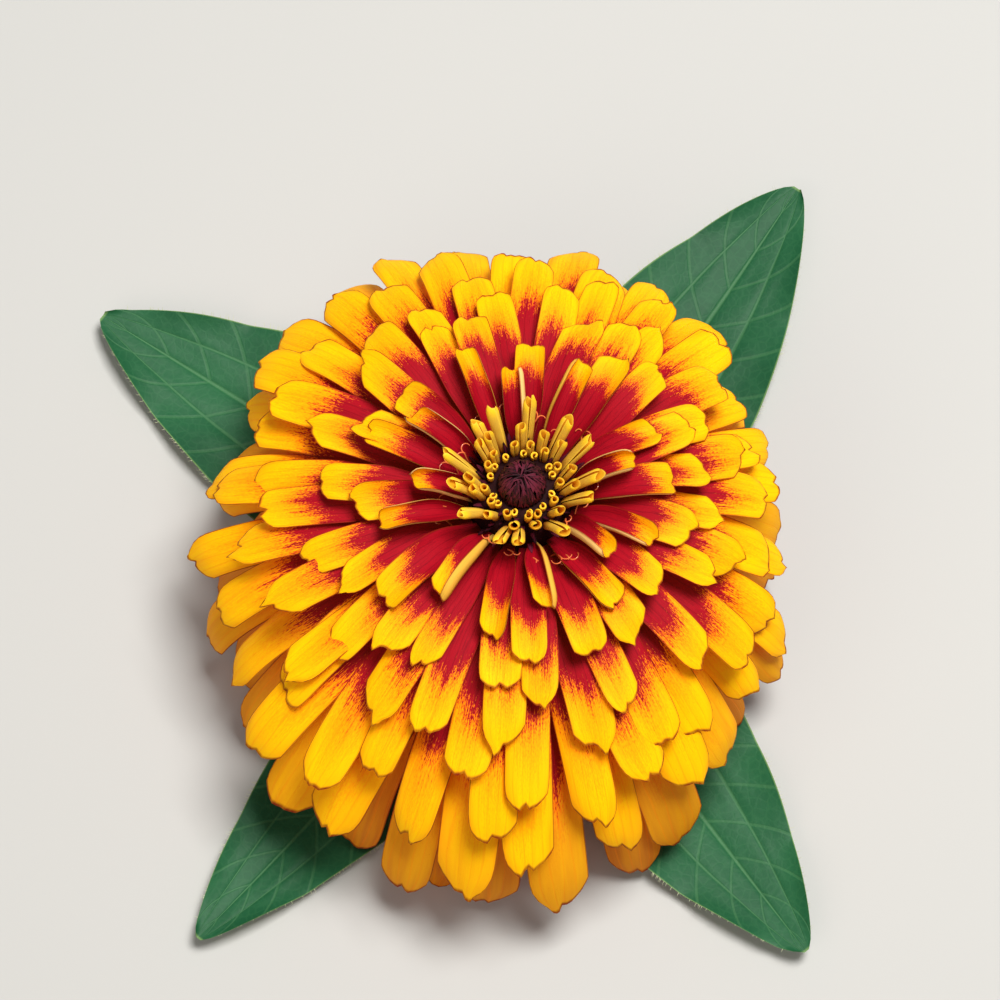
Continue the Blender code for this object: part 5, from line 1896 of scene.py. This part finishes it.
# %% Leaf material
LEAF_DARK = linear(12, 62, 38)
LEAF_GREEN = linear(36, 102, 62)
LEAF_NET = linear(70, 130, 84)
LEAF_VEIN = linear(96, 150, 98)
LEAF_EDGE = linear(132, 166, 98)
LEAF_BELOW = linear(104, 142, 96)
LEAF_VEIN_BELOW = linear(156, 180, 130)


def leaf_material():
    """Deep matte green with paler veins, a net of fine veins, and a lighter underside."""
    material, tree, shader = new_material("leaf", 0.55, specular=0.22)
    place = place_group(tree, BLADE_COORDINATES)
    along, across = place["Along"], place["Across"]
    position = own_place(tree)
    net = vein_net(tree, position)
    main = main_veins(tree, along, across)
    green = blend(tree, noise(tree, position, 60.0, 4.0, 0.6), LEAF_DARK, LEAF_GREEN)
    green = blend(tree, calc(tree, "MULTIPLY", net, 0.08), green, LEAF_NET)
    green = blend(tree, calc(tree, "MULTIPLY", main, 0.28), green, LEAF_VEIN)
    line = place_group(tree, EDGE_LINE, Along=along, Across=across, Width=0.022)["Line"]
    green = blend(tree, calc(tree, "MULTIPLY", line, 0.6), green, LEAF_EDGE)
    below = blend(tree, main, LEAF_BELOW, LEAF_VEIN_BELOW)
    feed(tree, shader.inputs["Base Color"], blend(tree, place["Under"], green, below))
    height = calc(tree, "MULTIPLY_ADD", net, -0.12, noise(tree, position, 700.0, 3.0))
    height = calc(tree, "MULTIPLY_ADD", main, -1.0, height)
    add_bump(tree, shader, height, 0.13 * MM, 0.6)
    return material


LEAF = leaf_material()
print("material:", LEAF.name)

# %% Bristles of a margin
MARGIN_HAIRS = 150
MARGIN_HAIR_RADIUS = 0.045 * MM


def margin_hairs(points):
    """Places and quads of short bristles that stand out from a leaf's two side margins."""
    rows, columns = points.shape[:2]
    chance = np.random.default_rng(SEED + 17)
    row = chance.integers(6, rows - 3, MARGIN_HAIRS)
    at_left = np.arange(MARGIN_HAIRS) % 2 == 0
    margin = np.where(at_left, 0, columns - 1)
    inside = np.where(at_left, 1, columns - 2)
    to_next = points[row + 1, margin] - points[row, margin]
    feet = points[row, margin] + to_next * chance.uniform(0, 1, (MARGIN_HAIRS, 1))
    outward = unit(points[row, margin] - points[row, inside])
    outward = unit(outward + 0.5 * unit(to_next) + [0, 0, 0.25])
    lengths = chance.uniform(0.5, 1.0, MARGIN_HAIRS) * MM
    return spikes(feet, outward, lengths, MARGIN_HAIR_RADIUS)


print("bristles on each leaf:", MARGIN_HAIRS)

# %% Make the leaves
LEAF_ROWS = 72
LEAF_COLUMNS = 49
LEAF_THICKNESS = 0.36 * MM


def make_leaf(name, direction, foot_z, length, width):
    """One leaf, let down until its lowest point touches the surface, and its bristles."""
    along, across = even_grid(LEAF_ROWS, LEAF_COLUMNS)
    points = leaf_surface(direction, foot_z, length, width, along, across)
    points[..., 2] -= points[..., 2].min() - LEAF_THICKNESS / 2
    blade = sheets_piece(
        name + "_blade", points[None], LEAF_THICKNESS, along, across, {}, LEAF
    )
    places, corners = margin_hairs(points)
    hairs = plain_piece(name + "_hairs", places, corners, HAIR)
    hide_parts(name)
    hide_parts(name)


for leaf in LEAVES:
    make_leaf(*leaf)
